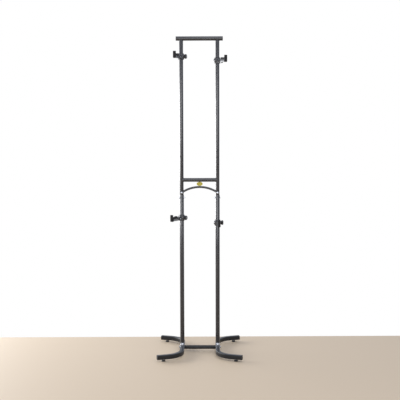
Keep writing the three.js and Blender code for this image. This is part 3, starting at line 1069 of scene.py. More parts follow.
@dataclass
class Fasteners:
    """Bolts and nuts, drawn along +Z with their seat at zero."""

    edge: float = 0.3 * MM
    rim_share: float = 0.3
    socket_depth: float = 2.0 * MM
    socket_share: float = 0.31
    flange_edge: float = 1.0 * MM
    flange_top: float = 2.4 * MM
    head_top: float = 6.8 * MM
    crown_top: float = 7.0 * MM
    # Radii as shares of the width across flats: a crown's two rims, a nut's dome.
    crown_low_share: float = 0.42
    crown_top_share: float = 0.36
    dome_share: float = 0.46

    def button_bolt(self, size: Bolt) -> bpy.types.Object:
        """Makes a round headed bolt with a hexagon socket.

        Args:
            size: The bolt's sizes.

        Returns:
            The bolt.
        """
        radius = size.head / 2
        rim = size.height * self.rim_share
        profile = [
            (0.0, -size.reach),
            (size.shank / 2, -size.reach),
            (size.shank / 2, 0.0),
            (radius - self.edge, 0.0),
            (radius, self.edge),
            *dome(radius, rim, size.height - rim),
        ]
        bolt = solid("button_bolt", spun(profile))
        socket = ngon(6, size.head * self.socket_share)
        key = prism(socket, size.height - self.socket_depth, 2 * size.height, 0)
        return carved(bolt, solid("key", key))

    def flange_bolt(
        self, flange: float, flats: float, shank: float, reach: float
    ) -> bpy.types.Object:
        """Makes a hexagon bolt with a flange under its head.

        Args:
            flange: The flange's diameter.
            flats: The head's width across its flats.
            shank: The shank's diameter.
            reach: How far the shank goes below the seat.

        Returns:
            The bolt.
        """
        rim = flange / 2
        skirt = [
            (0.0, 0.0),
            (rim - self.edge, 0.0),
            (rim, self.edge),
            (rim, self.flange_edge),
            (flats / 2, self.flange_top),
            (0.0, self.flange_top),
        ]
        crown = [
            (0.0, 6.0 * MM),
            (flats * self.crown_low_share, self.head_top),
            (flats * self.crown_top_share, self.crown_top),
            (0.0, self.crown_top),
        ]
        head = prism(ngon(6, flats), self.flange_edge, self.head_top, 0.45 * MM)
        rod = disc(shank / 2, -reach, 0.5 * MM, 0.4 * MM, 24)
        return solid("flange_bolt", combined(spun(skirt), head, spun(crown, PIN_SIDES), rod))

    def cap_nut(self, flats: float, height: float, rise: float) -> bpy.types.Object:
        """Makes a hexagon nut closed by a dome.

        Args:
            flats: The nut's width across its flats.
            height: The height of its hexagon.
            rise: How far the dome rises above that.

        Returns:
            The nut.
        """
        body = prism(ngon(6, flats), 0.0, height, 0.35 * MM)
        radius = flats * self.dome_share
        start = height - 1.0 * MM
        profile = [(0.0, start), (radius, start), *dome(radius, height, rise)]
        return solid("cap_nut", combined(body, spun(profile, 40)))


@dataclass
class Base:
    """The two C-shaped feet with their caps, glides, crossbar and spigots."""

    tube: float = 28.6 * MM
    corner: float = 5.0 * MM
    wall: float = 1.8 * MM
    floor_gap: float = 13.0 * MM
    depth: float = 560.0 * MM
    reach: float = 151.0 * MM
    splay: float = math.radians(18)
    bend_radius: float = 130.0 * MM
    bend_steps: int = 18
    cap_plate: float = 3.0 * MM
    # The raised panel's share of the cap's width.
    cap_panel: float = 0.72
    cap_plug: float = 16.0 * MM
    # A weld nut's outer radius and height.
    weld_nut: tuple[float, float] = (7.5 * MM, 6.0 * MM)
    stud_radius: float = 4.0 * MM
    stud_pitch: float = 1.25 * MM
    pad_radius: float = 13.0 * MM
    bar_bore: float = 4.3 * MM
    bar_radius: float = 12.7 * MM
    spigot_bore: float = 10.2 * MM
    spigot_flange: float = 14.5 * MM
    spigot_shoulder: float = 13.6 * MM
    spigot_top: float = 78.0 * MM
    fasteners: Fasteners = field(default_factory=Fasteners)

    @property
    def middle(self) -> float:
        """The height of the foot tube's middle."""
        return self.floor_gap + self.tube / 2

    @property
    def top(self) -> float:
        """The height of the foot tube's top."""
        return self.floor_gap + self.tube

    def path(self, side: Side) -> list[Vector]:
        """Finds the points along a foot.

        Args:
            side: The foot's side.

        Returns:
            The points, from its front tip to its back tip.
        """
        bend = QUARTER - self.splay
        arm = (self.reach - self.bend_radius * (1 - math.cos(bend))) / math.cos(self.splay)
        spine = self.depth / 2 - self.tube / 2 * math.cos(self.splay)
        spine -= arm * math.sin(self.splay) + self.bend_radius * math.sin(bend)
        half = []
        for step in range(self.bend_steps + 1):
            angle = step / self.bend_steps * bend
            across = POST_X + self.bend_radius * (1 - math.cos(angle))
            half.append((across, spine + self.bend_radius * math.sin(angle)))
        last = half[-1]
        half.append((last[0] + arm * math.sin(bend), last[1] + arm * math.cos(bend)))
        front = [Vector((side.value * x, -y, self.middle)) for x, y in reversed(half)]
        back = [Vector((side.value * x, y, self.middle)) for x, y in half]
        return front + back

    def tip(self, side: Side, end: End) -> tuple[Vector, Vector]:
        """Finds the end of a foot's tube.

        Args:
            side: The foot's side.
            end: Which end of the foot.

        Returns:
            The middle of the tube's end and the direction that it points in.
        """
        points = self.path(side)
        last, before = (points[0], points[1]) if end is End.FRONT else (points[-1], points[-2])
        return last, (last - before).normalized()

    def foot(self, side: Side) -> None:
        """Makes one bent foot: the hollow tube, with the weld nuts of its two glides inside.

        Args:
            side: The foot's side.
        """
        points = self.path(side)
        tube = PathForms.swept("tube", points, Section.SQUARE, self.tube, self.corner, FOOT_SHADE_COAT)
        longer = [2 * points[0] - points[1], *points, 2 * points[-1] - points[-2]]
        bore = self.tube - 2 * self.wall
        corner = self.corner - self.wall
        inside = PathForms.swept("inside", longer, Section.SQUARE, bore, corner, FOOT_SHADE_COAT)
        radius, height = self.weld_nut
        stud_hole = self.stud_radius + SEAT
        nuts = []
        holes = []
        for end in End:
            x, y, _ = joint(f"glide_screw_{end.word}_{side.word}")["pos_m"]
            place = shift(x, y, self.floor_gap + self.wall)
            nuts.append(moved(pipe(stud_hole, radius, 0, height, 0.5 * MM, 64), place))
            hole = disc(stud_hole, -5 * MM, height, 0.1 * MM)
            holes.append(solid("hole", moved(hole, place)))
        piece = carved(tube, inside, *holes)
        form = bmesh.new()
        form.from_mesh(piece.data)
        combined(form, *nuts).to_mesh(piece.data)
        form.free()
        name = f"foot_{side.word}"
        piece.name = f"{name}_tube"
        fitted(piece, "frame", FOOT_SHADE_COAT, [name])

    def cap(self, side: Side, end: End) -> None:
        """Makes the moulded cap in one open end of a foot, with its plug.

        Args:
            side: The foot's side.
            end: Which end of the foot.
        """
        place, direction = self.tip(side, end)
        half = self.tube / 2
        square = [(half, -half), (half, half), (-half, half), (-half, -half)]
        outline = filleted(square, self.corner * 1.4, 6, closed=True)
        plate = prism(outline, SEAT, self.cap_plate, 0.9 * MM, 4)
        panel = [(x * self.cap_panel, y * self.cap_panel) for x, y in outline]
        low, high = self.cap_plate - 0.4 * MM, self.cap_plate + 0.25 * MM
        crown = prism(panel, low, high, 0.25 * MM, 2)
        share = 1 - (self.wall + SEAT) / half
        inner = [(x * share, y * share) for x, y in outline]
        plug = prism(inner, -self.cap_plug, self.cap_plate / 2, 0.6 * MM, 2)
        form = moved(combined(plate, crown, plug), level(direction), shift(*place))
        name = f"foot_cap_{end.word}_{side.word}"
        fitted(solid(f"{name}_moulding", form), "frame", MOULDED_PLASTIC, [name])

    def glide(self, side: Side, end: End) -> None:
        """Makes a levelling glide: its pad, and its stud with the thread.

        Args:
            side: The foot's side.
            end: Which end of the foot.
        """
        corner = f"{end.word}_{side.word}"
        x, y, _ = joint(f"glide_screw_{corner}")["pos_m"]
        radius = self.pad_radius
        profile = [
            (0.0, 0.0),
            (radius - 2.0 * MM, 0.0),
            (radius, 1.5 * MM),
            (radius, 4.2 * MM),
            (radius - 0.6 * MM, 4.8 * MM),
            (radius - 2.6 * MM, 7.8 * MM),
            (radius - 4.0 * MM, 9.4 * MM),
            (7.2 * MM, 9.4 * MM),
            (7.0 * MM, 8.0 * MM),
            (0.0, 8.0 * MM),
        ]
        pad = moved(spun(filleted(profile, 0.8 * MM, 3)), shift(x, y, 0))
        name = f"glide_pad_{corner}"
        fitted(solid(f"{name}_foot", pad), name, MOULDED_PLASTIC, [name])
        hexagon = prism(ngon(6, 13.0 * MM), 9.7 * MM, 12.7 * MM, 0.35 * MM)
        neck = disc(5.2 * MM, 6.0 * MM, 10.5 * MM, 0.4 * MM)
        core = disc(3.4 * MM, 12.0 * MM, 35.0 * MM, 0.5 * MM)
        stud = solid("stud", combined(hexagon, neck, core))
        ridge = PathForms.thread("ridge", self.stud_radius, self.stud_pitch, 21.0 * MM, ZINC_PLATE)
        ridge.data.transform(shift(0, 0, 13.2 * MM))
        name = f"glide_stud_{corner}"
        screw = solid(f"{name}_screw", moved(joined(stud, ridge), shift(x, y, 0)))
        fitted(screw, name, ZINC_PLATE, [name])

    def crossbar(self) -> None:
        """Makes the bar between the feet and the flange bolts at its ends."""
        half = POST_X - self.tube / 2 - SEAT
        bar = pipe(self.bar_bore, self.bar_radius, -half, half, 0.8 * MM)
        bar = moved(bar, facing((1, 0, 0)), shift(0, 0, self.middle))
        fitted(solid("base_bar", bar), "frame", FOOT_SHADE_COAT, ["base_crossbar"])
        bolt = self.fasteners.flange_bolt(
            flange=17.0 * MM, flats=13.0 * MM, shank=8.0 * MM, reach=36.0 * MM
        )
        places = []
        for side in Side:
            seat = side.value * (POST_X + self.tube / 2 + SEAT)
            places.append(shift(seat, 0, self.middle) @ facing((side.value, 0, 0)))
        bolts = PathForms.scattered("crossbar_bolts", bolt, places, ZINC_PLATE)
        nodes = [f"crossbar_bolt_{side.word}" for side in Side]
        fitted(bolts, "frame", ZINC_PLATE, nodes)

    def spigots(self) -> None:
        """Makes the bright spigots that carry the posts."""
        profile = [
            (self.spigot_bore, 0.0),
            (self.spigot_flange, 0.0),
            (self.spigot_flange, 2.5 * MM),
            (self.spigot_shoulder, 3.1 * MM),
            (self.spigot_shoulder, 15.8 * MM),
            (12.7 * MM, 15.8 * MM),
            (12.7 * MM, self.spigot_top - 1.5 * MM),
            (11.2 * MM, self.spigot_top),
            (self.spigot_bore, self.spigot_top),
        ]
        rounded = filleted(profile, 0.4 * MM, 2, closed=True)
        for side in Side:
            form = spun(rounded, TUBE_SIDES, closed=True)
            form = moved(form, at_post(side, self.top + SEAT))
            name = f"post_spigot_{side.word}"
            fitted(solid(f"{name}_turned", form), "frame", ZINC_PLATE, [name])

    def build(self) -> None:
        """Makes every piece of the base."""
        for side in Side:
            self.foot(side)
            for end in End:
                self.cap(side, end)
                self.glide(side, end)
        self.crossbar()
        self.spigots()


@dataclass
class Ladder:
    """The posts, the bars between them, the arch and the badge."""

    upper_wall: float = 1.5 * MM
    lower_wall: float = 1.3 * MM
    joint_height: float = 1051.0 * MM
    joint_bolt_drop: float = 18.0 * MM
    post_start: float = 58.0 * MM
    plug_end: float = 989.0 * MM
    top_height: float = 2073.7 * MM
    top_half: float = 151.5 * MM
    top_plug: float = 14.0 * MM
    bar_radius: float = 14.3 * MM
    mid_height: float = 1150.0 * MM
    mid_radius: float = 12.7 * MM
    arch_end: float = 1066.0 * MM
    arch_rise: float = 37.0 * MM
    arch_rod: float = 14.0 * MM
    arch_overrun: float = 6.0 * MM
    arch_steps: int = 64
    bead: float = 3.4 * MM
    ripple: float = 2.6 * MM
    bead_steps: int = 72
    # What is left round a cut, and how far the tool for a post's top reaches.
    cut_gap: float = 0.1 * MM
    cut_reach: float = 60.0 * MM
    frame_bolt: Bolt = Bolt(14 * MM, 3.6 * MM, 6 * MM, 16 * MM)
    badge_dip: float = 1.9 * MM
    badge_rim: float = 2.0 * MM
    fasteners: Fasteners = field(default_factory=Fasteners)

    def lower_post(self, side: Side) -> None:
        """Makes a lower post, with the rolled rim that shows at the joint.

        Args:
            side: The post's side.
        """
        bore = LOWER_RADIUS - self.lower_wall
        form = pipe(bore, LOWER_RADIUS, self.post_start, self.joint_height, 0.9 * MM)
        name = f"lower_post_{side.word}"
        piece = solid(f"{name}_tube", moved(form, at_post(side, 0)))
        fitted(piece, "frame", POWDER_COAT, [name])

    def upper_post(self, side: Side) -> None:
        """Makes an upper post, its top end cut to the top bar and drilled for the arch.

        Args:
            side: The post's side.
        """
        bore = UPPER_RADIUS - self.upper_wall
        form = pipe(bore, UPPER_RADIUS, self.plug_end, self.top_height, 0.4 * MM)
        post = solid("post", moved(form, at_post(side, 0)))
        reach = self.cut_reach
        bar = disc(self.bar_radius + self.cut_gap, -reach, reach, 0.5 * MM, TUBE_SIDES)
        bar = moved(bar, facing((1, 0, 0)), at_post(side, self.top_height))
        hole = disc(self.arch_rod / 2 + SEAT, 0.0, 30 * MM, 0.1 * MM, 40)
        hole = moved(hole, facing(-self.arch_slope(side)), at_post(side, self.arch_end))
        piece = carved(post, solid("saddle", bar), solid("rod_hole", hole))
        name = f"upper_post_{side.word}"
        piece.name = f"{name}_tube"
        fitted(piece, "frame", POWDER_COAT, [name])

    def arch_points(self) -> list[Vector]:
        """Finds the points along the arch.

        Returns:
            The points, from left to right.
        """
        radius = (POST_X**2 + self.arch_rise**2) / (2 * self.arch_rise)
        centre = self.arch_end + self.arch_rise - radius
        sweep = math.asin(POST_X / radius) + self.arch_overrun / radius
        points = []
        for step in range(self.arch_steps + 1):
            angle = (step * 2 / self.arch_steps - 1) * sweep
            points.append(Vector((radius * math.sin(angle), 0, centre + radius * math.cos(angle))))
        return points

    def arch_slope(self, side: Side) -> Vector:
        """Finds the direction that the arch's rod leaves its arc in.

        Args:
            side: The end's side.

        Returns:
            The direction, of length 1.
        """
        points = self.arch_points()
        last, before = (points[-1], points[-2]) if side is Side.RIGHT else (points[0], points[1])
        return (last - before).normalized()

    def bars(self) -> None:
        """Makes the top bar, its caps and the middle bar."""
        bore = self.bar_radius - self.upper_wall
        bar = pipe(bore, self.bar_radius, -self.top_half, self.top_half, 0.5 * MM, 80)
        bar = moved(bar, facing((1, 0, 0)), shift(0, 0, self.top_height))
        fitted(solid("top_tube", bar), "frame", POWDER_COAT, ["top_bar"])
        plug = bore - SEAT
        profile = [
            (0.0, -self.top_plug),
            (plug, -self.top_plug),
            (plug, SEAT),
            (self.bar_radius, SEAT),
            (self.bar_radius, 1.3 * MM),
            (self.bar_radius - 1.3 * MM, 2.15 * MM),
            (self.bar_radius / 2, 2.3 * MM),
            (0.0, 2.3 * MM),
        ]
        for side in Side:
            place = shift(side.value * self.top_half, 0, self.top_height)
            cap = spun(filleted(profile, 0.5 * MM, 3), 64)
            cap = moved(cap, facing((side.value, 0, 0)), place)
            name = f"top_bar_cap_{side.word}"
            piece = solid(f"{name}_moulding", cap)
            fitted(piece, "frame", MOULDED_PLASTIC, [name])
        bore = self.mid_radius - self.upper_wall
        middle = pipe(bore, self.mid_radius, -POST_X, POST_X, 0.1 * MM)
        tube = solid("tube", moved(middle, facing((1, 0, 0)), shift(0, 0, self.mid_height)))
        saddles = []
        for side in Side:
            post = disc(UPPER_RADIUS + self.cut_gap, -40 * MM, 40 * MM, 0.5 * MM, 90)
            post = moved(post, at_post(side, self.mid_height))
            saddles.append(solid("saddle", post))
        piece = carved(tube, *saddles)
        piece.name = "mid_tube"
        fitted(piece, "frame", POWDER_COAT, ["mid_bar"])

    def seams(self, side: Side) -> list[list[Vector]]:
        """Finds where a post meets the middle bar and the top bar.

        Args:
            side: The post's side.

        Returns:
            The points round each of the two seams.
        """
        x = side.value * POST_X
        middle = []
        top = []
        for step in range(self.bead_steps):
            angle = step / self.bead_steps * math.tau
            y = self.mid_radius * math.cos(angle)
            inset = math.sqrt(max(UPPER_RADIUS**2 - y**2, 0.0))
            z = self.mid_height + self.mid_radius * math.sin(angle)
            middle.append(Vector((x - side.value * inset, y, z)))
            y = UPPER_RADIUS * math.sin(angle)
            drop = math.sqrt(max(self.bar_radius**2 - y**2, 0.0))
            top.append(Vector((x + UPPER_RADIUS * math.cos(angle), y, self.top_height - drop)))
        return [middle, top]

    def welds(self) -> None:
        """Lays the weld beads where the bars meet the posts."""
        seams = [seam for side in Side for seam in self.seams(side)]
        beads = [
            PathForms.bead("bead", seam, self.bead, self.ripple, POWDER_COAT) for seam in seams
        ]
        fitted(solid("weld_beads", joined(*beads)), "frame", POWDER_COAT)

    def arch(self) -> None:
        """Makes the bent rod under the middle bar."""
        piece = PathForms.swept(
            "arch_rod", self.arch_points(), Section.ROUND, self.arch_rod, 0.0, POWDER_COAT
        )
        fitted(piece, "frame", POWDER_COAT, ["arch_brace"])

    def bolts(self) -> None:
        """Makes the bolts of the arch and of the post joints, and their cap nuts."""
        places = []
        nuts = []
        height = self.joint_height - self.joint_bolt_drop
        seat = LOWER_RADIUS + SEAT
        for side in Side:
            x = side.value * POST_X
            front = shift(x, -UPPER_RADIUS - SEAT, self.arch_end)
            places.append(front @ facing((0, -1, 0)))
            outer = shift(x + side.value * seat, 0, height)
            places.append(outer @ facing((side.value, 0, 0)))
            inner = shift(x - side.value * seat, 0, height)
            nuts.append(inner @ facing((-side.value, 0, 0)))
        bolt = self.fasteners.button_bolt(self.frame_bolt)
        bolts = PathForms.scattered("frame_bolts", bolt, places, ZINC_PLATE)
        nodes = [f"{kind}_{side.word}" for kind in ("arch_bolt", "joint_bolt") for side in Side]
        fitted(bolts, "frame", ZINC_PLATE, nodes)
        nut = self.fasteners.cap_nut(flats=10 * MM, height=5 * MM, rise=3.5 * MM)
        caps = PathForms.scattered("cap_nuts", nut, nuts, ZINC_PLATE)
        fitted(caps, "frame", ZINC_PLATE, [f"joint_nut_{side.word}" for side in Side])

    def badge(self) -> None:
        """Makes the plain oval badge, crowned inside a raised rim."""
        low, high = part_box("badge")
        middle = (low + high) / 2
        width, height = high.x - low.x, high.z - low.z
        half = height / 2
        face = [
            (0.0, -self.badge_dip),
            (half * 0.82, -1.3 * MM),
            (half * 0.86, -self.badge_rim),
            (half - 0.4 * MM, -self.badge_rim),
            (half, -1.4 * MM),
        ]
        profile = face + [(radius, -depth) for radius, depth in reversed(face)]
        form = moved(
            spun(filleted(profile, 0.35 * MM, 3), 96),
            facing((0, 1, 0)),
            Matrix.Diagonal((width / height, 1, 1, 1)),
            shift(*middle),
        )
        fitted(solid("badge_plate", form), "frame", YELLOW_ENAMEL, ["badge"])

    def build(self) -> None:
        """Makes every piece of the ladder."""
        for side in Side:
            self.lower_post(side)
            self.upper_post(side)
        self.bars()
        self.welds()
        self.arch()
        self.bolts()
        self.badge()


@dataclass
class Hook:
    """One hook, drawn round the post's axis with its arm towards -Y and its knob towards +X."""

    name: str
    post_radius: float
    ring: float = 19.5 * MM
    half: float = 17.0 * MM
    sleeve: float = 15.9 * MM
    flange: float = 18.5 * MM
    flange_thickness: float = 2.0 * MM
    knob_boss: float = 22.0 * MM
    knob_boss_radius: float = 12.0 * MM
    back_boss: float = 26.0 * MM
    back_boss_radius: float = 15.0 * MM
    back_dome: float = 9.0 * MM
    cheeks: float = 37.0 * MM
    cheek_half: float = 8.5 * MM
    cheek_round: float = 6.0 * MM
    # The casting's skin: the size of its voxels, and how often it is smoothed.
    skin: float = 0.75 * MM
    skin_rounds: int = 7
    slot_start: float = 19.6 * MM
    slot_half: float = 4.3 * MM
    # How far the tools that cut the clamp reach.
    beyond: float = 60.0 * MM
    knob_radius: float = 15.0 * MM
    flutes: int = 6
    flute_depth: float = 1.9 * MM
    flute_start: float = 9.6 * MM
    flute_power: float = 1.6
    arm_half: float = 4.0 * MM
    arm_root: float = 19.8 * MM
    arm_low: float = -16.0 * MM
    arm_high: float = 8.0 * MM
    arm_end: float = 120.7 * MM
    arm_tip: float = 5.0 * MM
    arm_tip_top: float = 23.0 * MM
    arm_seat: float = 62.0 * MM
    arm_seat_top: float = 3.0 * MM
    bolt: Bolt = Bolt(11 * MM, 3 * MM, 6 * MM, 17 * MM)
    bolt_reach: float = 28.5 * MM
    cover_half: float = 8.3 * MM
    cover_top: float = 26.2 * MM
    cover_groove: float = 11.0 * MM
    cover_hump: float = 15.0 * MM
    fasteners: Fasteners = field(default_factory=Fasteners)

    @property
    def place(self) -> Matrix:
        """The hook's place on its post, read from its joints."""
        x, y, z = joint(f"turn_{self.name}")["pos_m"]
        axis = joint(f"knob_turn_{self.name}")["axis"]
        return shift(x, y, z) @ Matrix.Rotation(math.atan2(axis[1], axis[0]), 4, "Z")

    def put(self, piece: bpy.types.Object, body: str, finish: Finish, node: str = "") -> None:
        """Moves a piece to the hook's place and fits it.

        Args:
            piece: The piece, drawn round the post's axis.
            body: Which of the hook's bodies it rides on.
            finish: The surface finish.
            node: The hook's CAD node that it stands for, if any.
        """
        piece.data.transform(self.place)
        nodes = [f"{node}_{self.name}"] if node else []
        fitted(piece, f"{body}_{self.name}", finish, nodes)

    def across(self, outline: Sequence[Point], half: float, edge: float) -> bmesh.types.BMesh:
        """Raises a side view, reach by height, across the middle of the hook."""
        turn = Matrix(((0, 0, -1, 0), (-1, 0, 0, 0), (0, 1, 0, 0), (0, 0, 0, 1)))
        return moved(prism(outline, -half, half, edge, 4), turn)

    def liner(self) -> None:
        """Makes the split nylon sleeve."""
        seat = self.half + SEAT
        end = seat + self.flange_thickness
        bore = self.post_radius + SEAT
        profile = [
            (bore, -end),
            (self.flange, -end),
            (self.flange, -seat),
            (self.sleeve, -seat),
            (self.sleeve, seat),
            (self.flange, seat),
            (self.flange, end),
            (bore, end),
        ]
        profile = filleted(profile, 0.5 * MM, 3, closed=True)
        body = solid("sleeve", spun(profile, TUBE_SIDES, closed=True))
        slit = prism(rectangle(-1 * MM, 1 * MM, 0.0, 24 * MM), -30 * MM, 30 * MM, 0)
        piece = carved(body, solid("slit", slit))
        piece.name = f"liner_{self.name}_sleeve"
        self.put(piece, "slider", NYLON, "liner")

    def casting(self) -> bpy.types.Object:
        """Makes the clamp as cast, its bosses and cheeks flowing into the ring.

        Returns:
            The solid casting, before it is bored and slotted.
        """
        ring = disc(self.ring, -self.half, self.half, 1.5 * MM, 64)
        knob_boss = disc(self.knob_boss_radius, 0.0, self.knob_boss, 1.0 * MM, TURNED_SIDES)
        knob_boss = moved(knob_boss, facing((1, 0, 0)))
        radius = self.back_boss_radius
        shoulder = self.back_boss - self.back_dome
        profile = [(0.0, 0.0), (radius, 0.0), *dome(radius, shoulder, self.back_dome, 12)]
        back_boss = moved(spun(profile), facing((-1, 0, 0)))
        outline = rectangle(5 * MM, self.cheeks, self.arm_low, self.arm_high)
        outline = filleted(outline, self.cheek_round, 6, closed=True)
        cheeks = self.across(outline, self.cheek_half, 1.2 * MM)
        rough = solid("rough", combined(ring, knob_boss, back_boss, cheeks))
        skin = rough.modifiers.new("skin", "REMESH")
        skin.mode = "VOXEL"
        skin.voxel_size = self.skin
        soften = rough.modifiers.new("soften", "SMOOTH")
        soften.factor = 0.5
        soften.iterations = self.skin_rounds
        return settled(rough)

    def clamp(self) -> None:
        """Makes the clamp: the casting, bored, slotted, drilled and faced."""
        far = self.beyond
        bore = disc(self.sleeve + SEAT, -far / 2, far / 2, 0.1 * MM, TUBE_SIDES)
        gap = rectangle(self.slot_start, far, -far / 2, far / 2)
        slot = self.across(gap, self.slot_half, 0)
        stud_hole = moved(disc(4.3 * MM, 0.0, 40 * MM, 0.1 * MM), facing((1, 0, 0)))
        block = rectangle(-40 * MM, 40 * MM, -far, 40 * MM)
        below = prism(block, -2 * self.half, -self.half, 0)
        above = prism(block, self.half, 2 * self.half, 0)
        tools = {"bore": bore, "slot": slot, "hole": stud_hole, "below": below, "above": above}
        piece = carved(self.casting(), *(solid(name, tool) for name, tool in tools.items()))
        piece.name = f"clamp_{self.name}_casting"
        self.put(piece, "hook", COATED_CASTING, "clamp")

    def knob_head(self) -> bmesh.types.BMesh:
        """Makes the knob's head, with its flutes.

        Returns:
            The head along +Z, its underside at zero.
        """
        profile = [
            (0.0, 0.0),
            (8.5 * MM, 0.0),
            (9.5 * MM, 1.2 * MM),
            (13.6 * MM, 2.2 * MM),
            (self.knob_radius, 3.8 * MM),
            (self.knob_radius, 12.4 * MM),
            (13.8 * MM, 14.6 * MM),
            (9.0 * MM, 16.0 * MM),
            (8.2 * MM, 15.2 * MM),
            (0.0, 15.2 * MM),
        ]
        head = spun(filleted(profile, 1.4 * MM, 5), 120)
        width = self.knob_radius - self.flute_start
        for corner in head.verts:
            radius = math.hypot(corner.co.x, corner.co.y)
            if radius < ON_AXIS:
                continue
            weight = min(max((radius - self.flute_start) / width, 0.0), 1.0)
            wave = 0.5 - 0.5 * math.cos(self.flutes * math.atan2(corner.co.y, corner.co.x))
            dip = self.flute_depth * weight * wave**self.flute_power
            corner.co.x *= (radius - dip) / radius
            corner.co.y *= (radius - dip) / radius
        return head

    def knob(self) -> None:
        """Makes the fluted knob on its stud, and the insert in its middle."""
        start = self.knob_boss + SEAT
        head = moved(self.knob_head(), shift(0, 0, start))
        core = disc(3.5 * MM, self.sleeve + SEAT, start + 2 * MM, 0.5 * MM)
        form = moved(combined(head, core), facing((1, 0, 0)))
        piece = solid(f"knob_{self.name}_moulding", form)
        self.put(piece, "knob", MOULDED_PLASTIC, "knob")
        insert = [
            (0.0, 14.6 * MM),
            (7.7 * MM, 14.6 * MM),
            (7.7 * MM, 15.5 * MM),
            (6.6 * MM, 15.9 * MM),
            (0.0, 16.2 * MM),
        ]
        form = spun(filleted(insert, 0.4 * MM, 3))
        form = moved(form, shift(0, 0, start), facing((1, 0, 0)))
        self.put(solid(f"knob_{self.name}_insert", form), "knob", KNOB_INSERT)

    def arm_profile(self) -> list[Point]:
        """Finds the arm's side view, its tip turned up and its seat stepped.

        Returns:
            Points of reach and height.
        """
        inner = self.arm_end - self.arm_tip
        corners = [
            (self.arm_root, self.arm_low, 0.8),
            (self.arm_end, self.arm_low, 9.0),
            (self.arm_end, self.arm_tip_top, 2.4),
            (inner, self.arm_tip_top, 2.4),
            (inner, self.arm_seat_top, 6.0),
            (self.arm_seat, self.arm_seat_top, 1.2),
            (self.arm_seat, self.arm_high, 1.6),
            (self.arm_root, self.arm_high, 0.8),
        ]
        return rounded_corners(corners)

    def arm(self) -> None:
        """Makes the flat arm and the bolt through its root."""
        plate = self.across(self.arm_profile(), self.arm_half, 0.7 * MM)
        piece = solid(f"arm_{self.name}_plate", plate)
        self.put(piece, "hook", ARM_SHEEN_COAT, "arm")
        bolt = self.fasteners.button_bolt(self.bolt)
        middle = (self.arm_low + self.arm_high) / 2
        turn = shift(self.cheek_half + SEAT, -self.bolt_reach, middle) @ facing((1, 0, 0))
        piece = PathForms.scattered(f"arm_bolt_{self.name}_screw", bolt, [turn], ZINC_PLATE)
        self.put(piece, "hook", ZINC_PLATE, "arm_bolt")

    def cover_profile(self) -> list[Point]:
        """Finds the rubber cover's side view: pad, groove, lip and boot.

        Returns:
            Points of reach and height.
        """
        start = self.arm_seat + SEAT
        outer = self.arm_end + 3.3 * MM
        lip = self.arm_end - 8.3 * MM
        boot = outer - 16 * MM
        low = self.arm_low - 2.5 * MM
        corners = [
            (start, 0.0, 1.2),
            (boot - 4 * MM, 0.0, 3.0),
            (boot, -4 * MM, 3.0),
            (boot, low, 1.4),
            (outer, low, 12.0),
            (outer, self.cover_top, 5.7),
            (lip, self.cover_top, 5.7),
            (lip, self.cover_groove, 8.0),
            (start + 18 * MM, self.cover_groove, 14.0),
            (start + 9 * MM, self.cover_hump, 8.0),
            (start, self.cover_hump, 2.0),
        ]
        return rounded_corners(corners)

    def cover(self) -> None:
        """Makes the rubber cover over the end of the arm."""
        form = self.across(self.cover_profile(), self.cover_half, 2.0 * MM)
        piece = solid(f"cradle_cover_{self.name}_rubber", form)
        self.put(piece, "hook", RUBBER, "cradle_cover")

    def build(self) -> None:
        """Makes every piece of the hook."""
        self.liner()
        self.clamp()
        self.knob()
        self.arm()
        self.cover()


# The studio.


@dataclass(frozen=True)
class Lamp:
    """One soft lamp: where it stands, what it faces, its width and height, and its watts."""

    name: str
    place: tuple[float, float, float]
    aim: tuple[float, float, float]
    size: Point
    power: float

    def add(self) -> None:
        """Adds the lamp to the scene."""
        data = bpy.data.lights.new(self.name, "AREA")
        data.shape = "RECTANGLE"
        data.size, data.size_y = self.size
        data.energy = self.power
        made = placed(self.name, data)
        made.location = self.place
        towards = Vector(self.aim) - Vector(self.place)
        made.rotation_euler = towards.to_track_quat("-Z", "Y").to_euler()


# A window at the left behind the rack, a wide low lamp in front and a weak one above.
LAMPS = (
    Lamp("window", (-3.7, 1.7, 1.3), (0, 0, 1.25), (5.4, 1.3), 200.0),
    Lamp("ceiling", (0.6, -1.6, 4.6), (0, 0, 0.9), (2.6, 2.6), 35.0),
    Lamp("front", (-0.6, -6.2, 1.32), (0, 0, 1.3), (6.0, 1.4), 108.0),
)


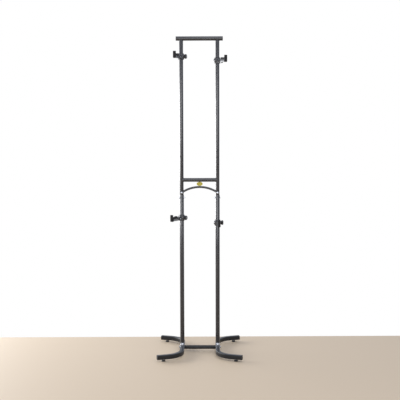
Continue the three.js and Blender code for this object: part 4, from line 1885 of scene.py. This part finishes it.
@dataclass
class Studio:
    """The floor, the light and the camera."""

    floor_half: float = 12.0
    floor_colour: str = "#decbb2"
    floor_roughness: float = 0.6
    # Where the floor turns white: how far back, how soft, and how much askew.
    wall_line: float = 0.403
    wall_blur: float = 0.004
    wall_turn: float = 0.9
    sky_colour: str = "#eef3ff"
    world_strength: float = 0.5
    camera_place: tuple[float, float, float] = (0.055, -5.4, 1.42)
    camera_pitch: float = 4.27
    camera_turn: float = 0.56
    camera_roll: float = 0.15
    camera_lens: float = 73.6
    camera_sensor: float = 36.0

    def floor(self) -> None:
        """Makes the pale floor, white beyond the line where the wall would stand."""
        form = bmesh.new()
        half = self.floor_half
        corners = rectangle(-half, half, -half, half)
        form.faces.new([form.verts.new((x, y, 0.0)) for x, y in corners])
        piece = solid("floor", form)
        made = bpy.data.materials.new("pale_floor")
        tree = emptied(made)
        place = add_node(tree, "ShaderNodeTexCoord").outputs["Object"]
        turned = add_node(
            tree,
            "ShaderNodeMapping",
            {"Vector": place, "Rotation": (0, 0, -math.radians(self.wall_turn))},
        )
        parts = add_node(tree, "ShaderNodeSeparateXYZ", {"Vector": turned.outputs["Vector"]})
        beyond = add_node(
            tree,
            "ShaderNodeMapRange",
            {
                "Value": parts.outputs["Y"],
                "From Min": self.wall_line - self.wall_blur,
                "From Max": self.wall_line + self.wall_blur,
            },
        )
        matt = add_node(
            tree,
            "ShaderNodeBsdfPrincipled",
            {"Base Color": linear(self.floor_colour), "Roughness": self.floor_roughness},
        )
        white = add_node(tree, "ShaderNodeEmission", {"Color": (1, 1, 1, 1), "Strength": 1.0})
        surface = add_node(
            tree,
            "ShaderNodeMixShader",
            {0: beyond.outputs["Result"], 1: matt.outputs["BSDF"], 2: white.outputs["Emission"]},
        )
        add_node(tree, "ShaderNodeOutputMaterial", {"Surface": surface.outputs["Shader"]})
        piece.data.materials.append(made)

    def world(self) -> None:
        """Lights everything evenly, and shows white where a ray meets nothing."""
        world = bpy.data.worlds.new("studio")
        bpy.context.scene.world = world
        tree = emptied(world)
        ray = add_node(tree, "ShaderNodeLightPath")
        camera, glass = ray.outputs["Is Camera Ray"], ray.outputs["Is Transmission Ray"]
        seen = maths(tree, "MAXIMUM", camera, glass)
        shown = maths(tree, "MAXIMUM", seen, ray.outputs["Is Glossy Ray"])
        strength = add_node(
            tree,
            "ShaderNodeMapRange",
            {"Value": shown, "To Min": self.world_strength, "To Max": 1.0},
        )
        tint = add_node(
            tree,
            "ShaderNodeMix",
            {"Factor": seen, "A": linear(self.sky_colour), "B": (1, 1, 1, 1)},
            data_type="RGBA",
        )
        light = add_node(
            tree,
            "ShaderNodeBackground",
            {"Color": tint.outputs["Result"], "Strength": strength.outputs["Result"]},
        )
        add_node(tree, "ShaderNodeOutputWorld", {"Surface": light.outputs["Background"]})

    def camera(self) -> None:
        """Sets the camera at the photograph's place."""
        data = bpy.data.cameras.new("camera")
        data.sensor_width = self.camera_sensor
        data.lens = self.camera_lens
        made = placed("camera", data)
        turn = Matrix.Rotation(math.radians(self.camera_turn), 4, "Z")
        tilt = Matrix.Rotation(math.radians(90 - self.camera_pitch), 4, "X")
        roll = Matrix.Rotation(math.radians(-self.camera_roll), 4, "Z")
        made.matrix_world = shift(*self.camera_place) @ turn @ tilt @ roll
        bpy.context.scene.camera = made

    def build(self) -> None:
        """Makes the studio."""
        bpy.context.scene.view_settings.view_transform = "Standard"
        self.camera()
        self.floor()
        self.world()
        for lamp in LAMPS:
            lamp.add()


def main() -> None:
    """Builds the studio and every sub-assembly."""
    logging.basicConfig(level=logging.INFO, format="%(message)s")
    Studio().build()
    Base().build()
    Ladder().build()
    for tier, radius in (("upper", UPPER_RADIUS), ("lower", LOWER_RADIUS)):
        for side in Side:
            Hook(f"{tier}_{side.word}", radius).build()


if __name__ == "__main__":
    main()
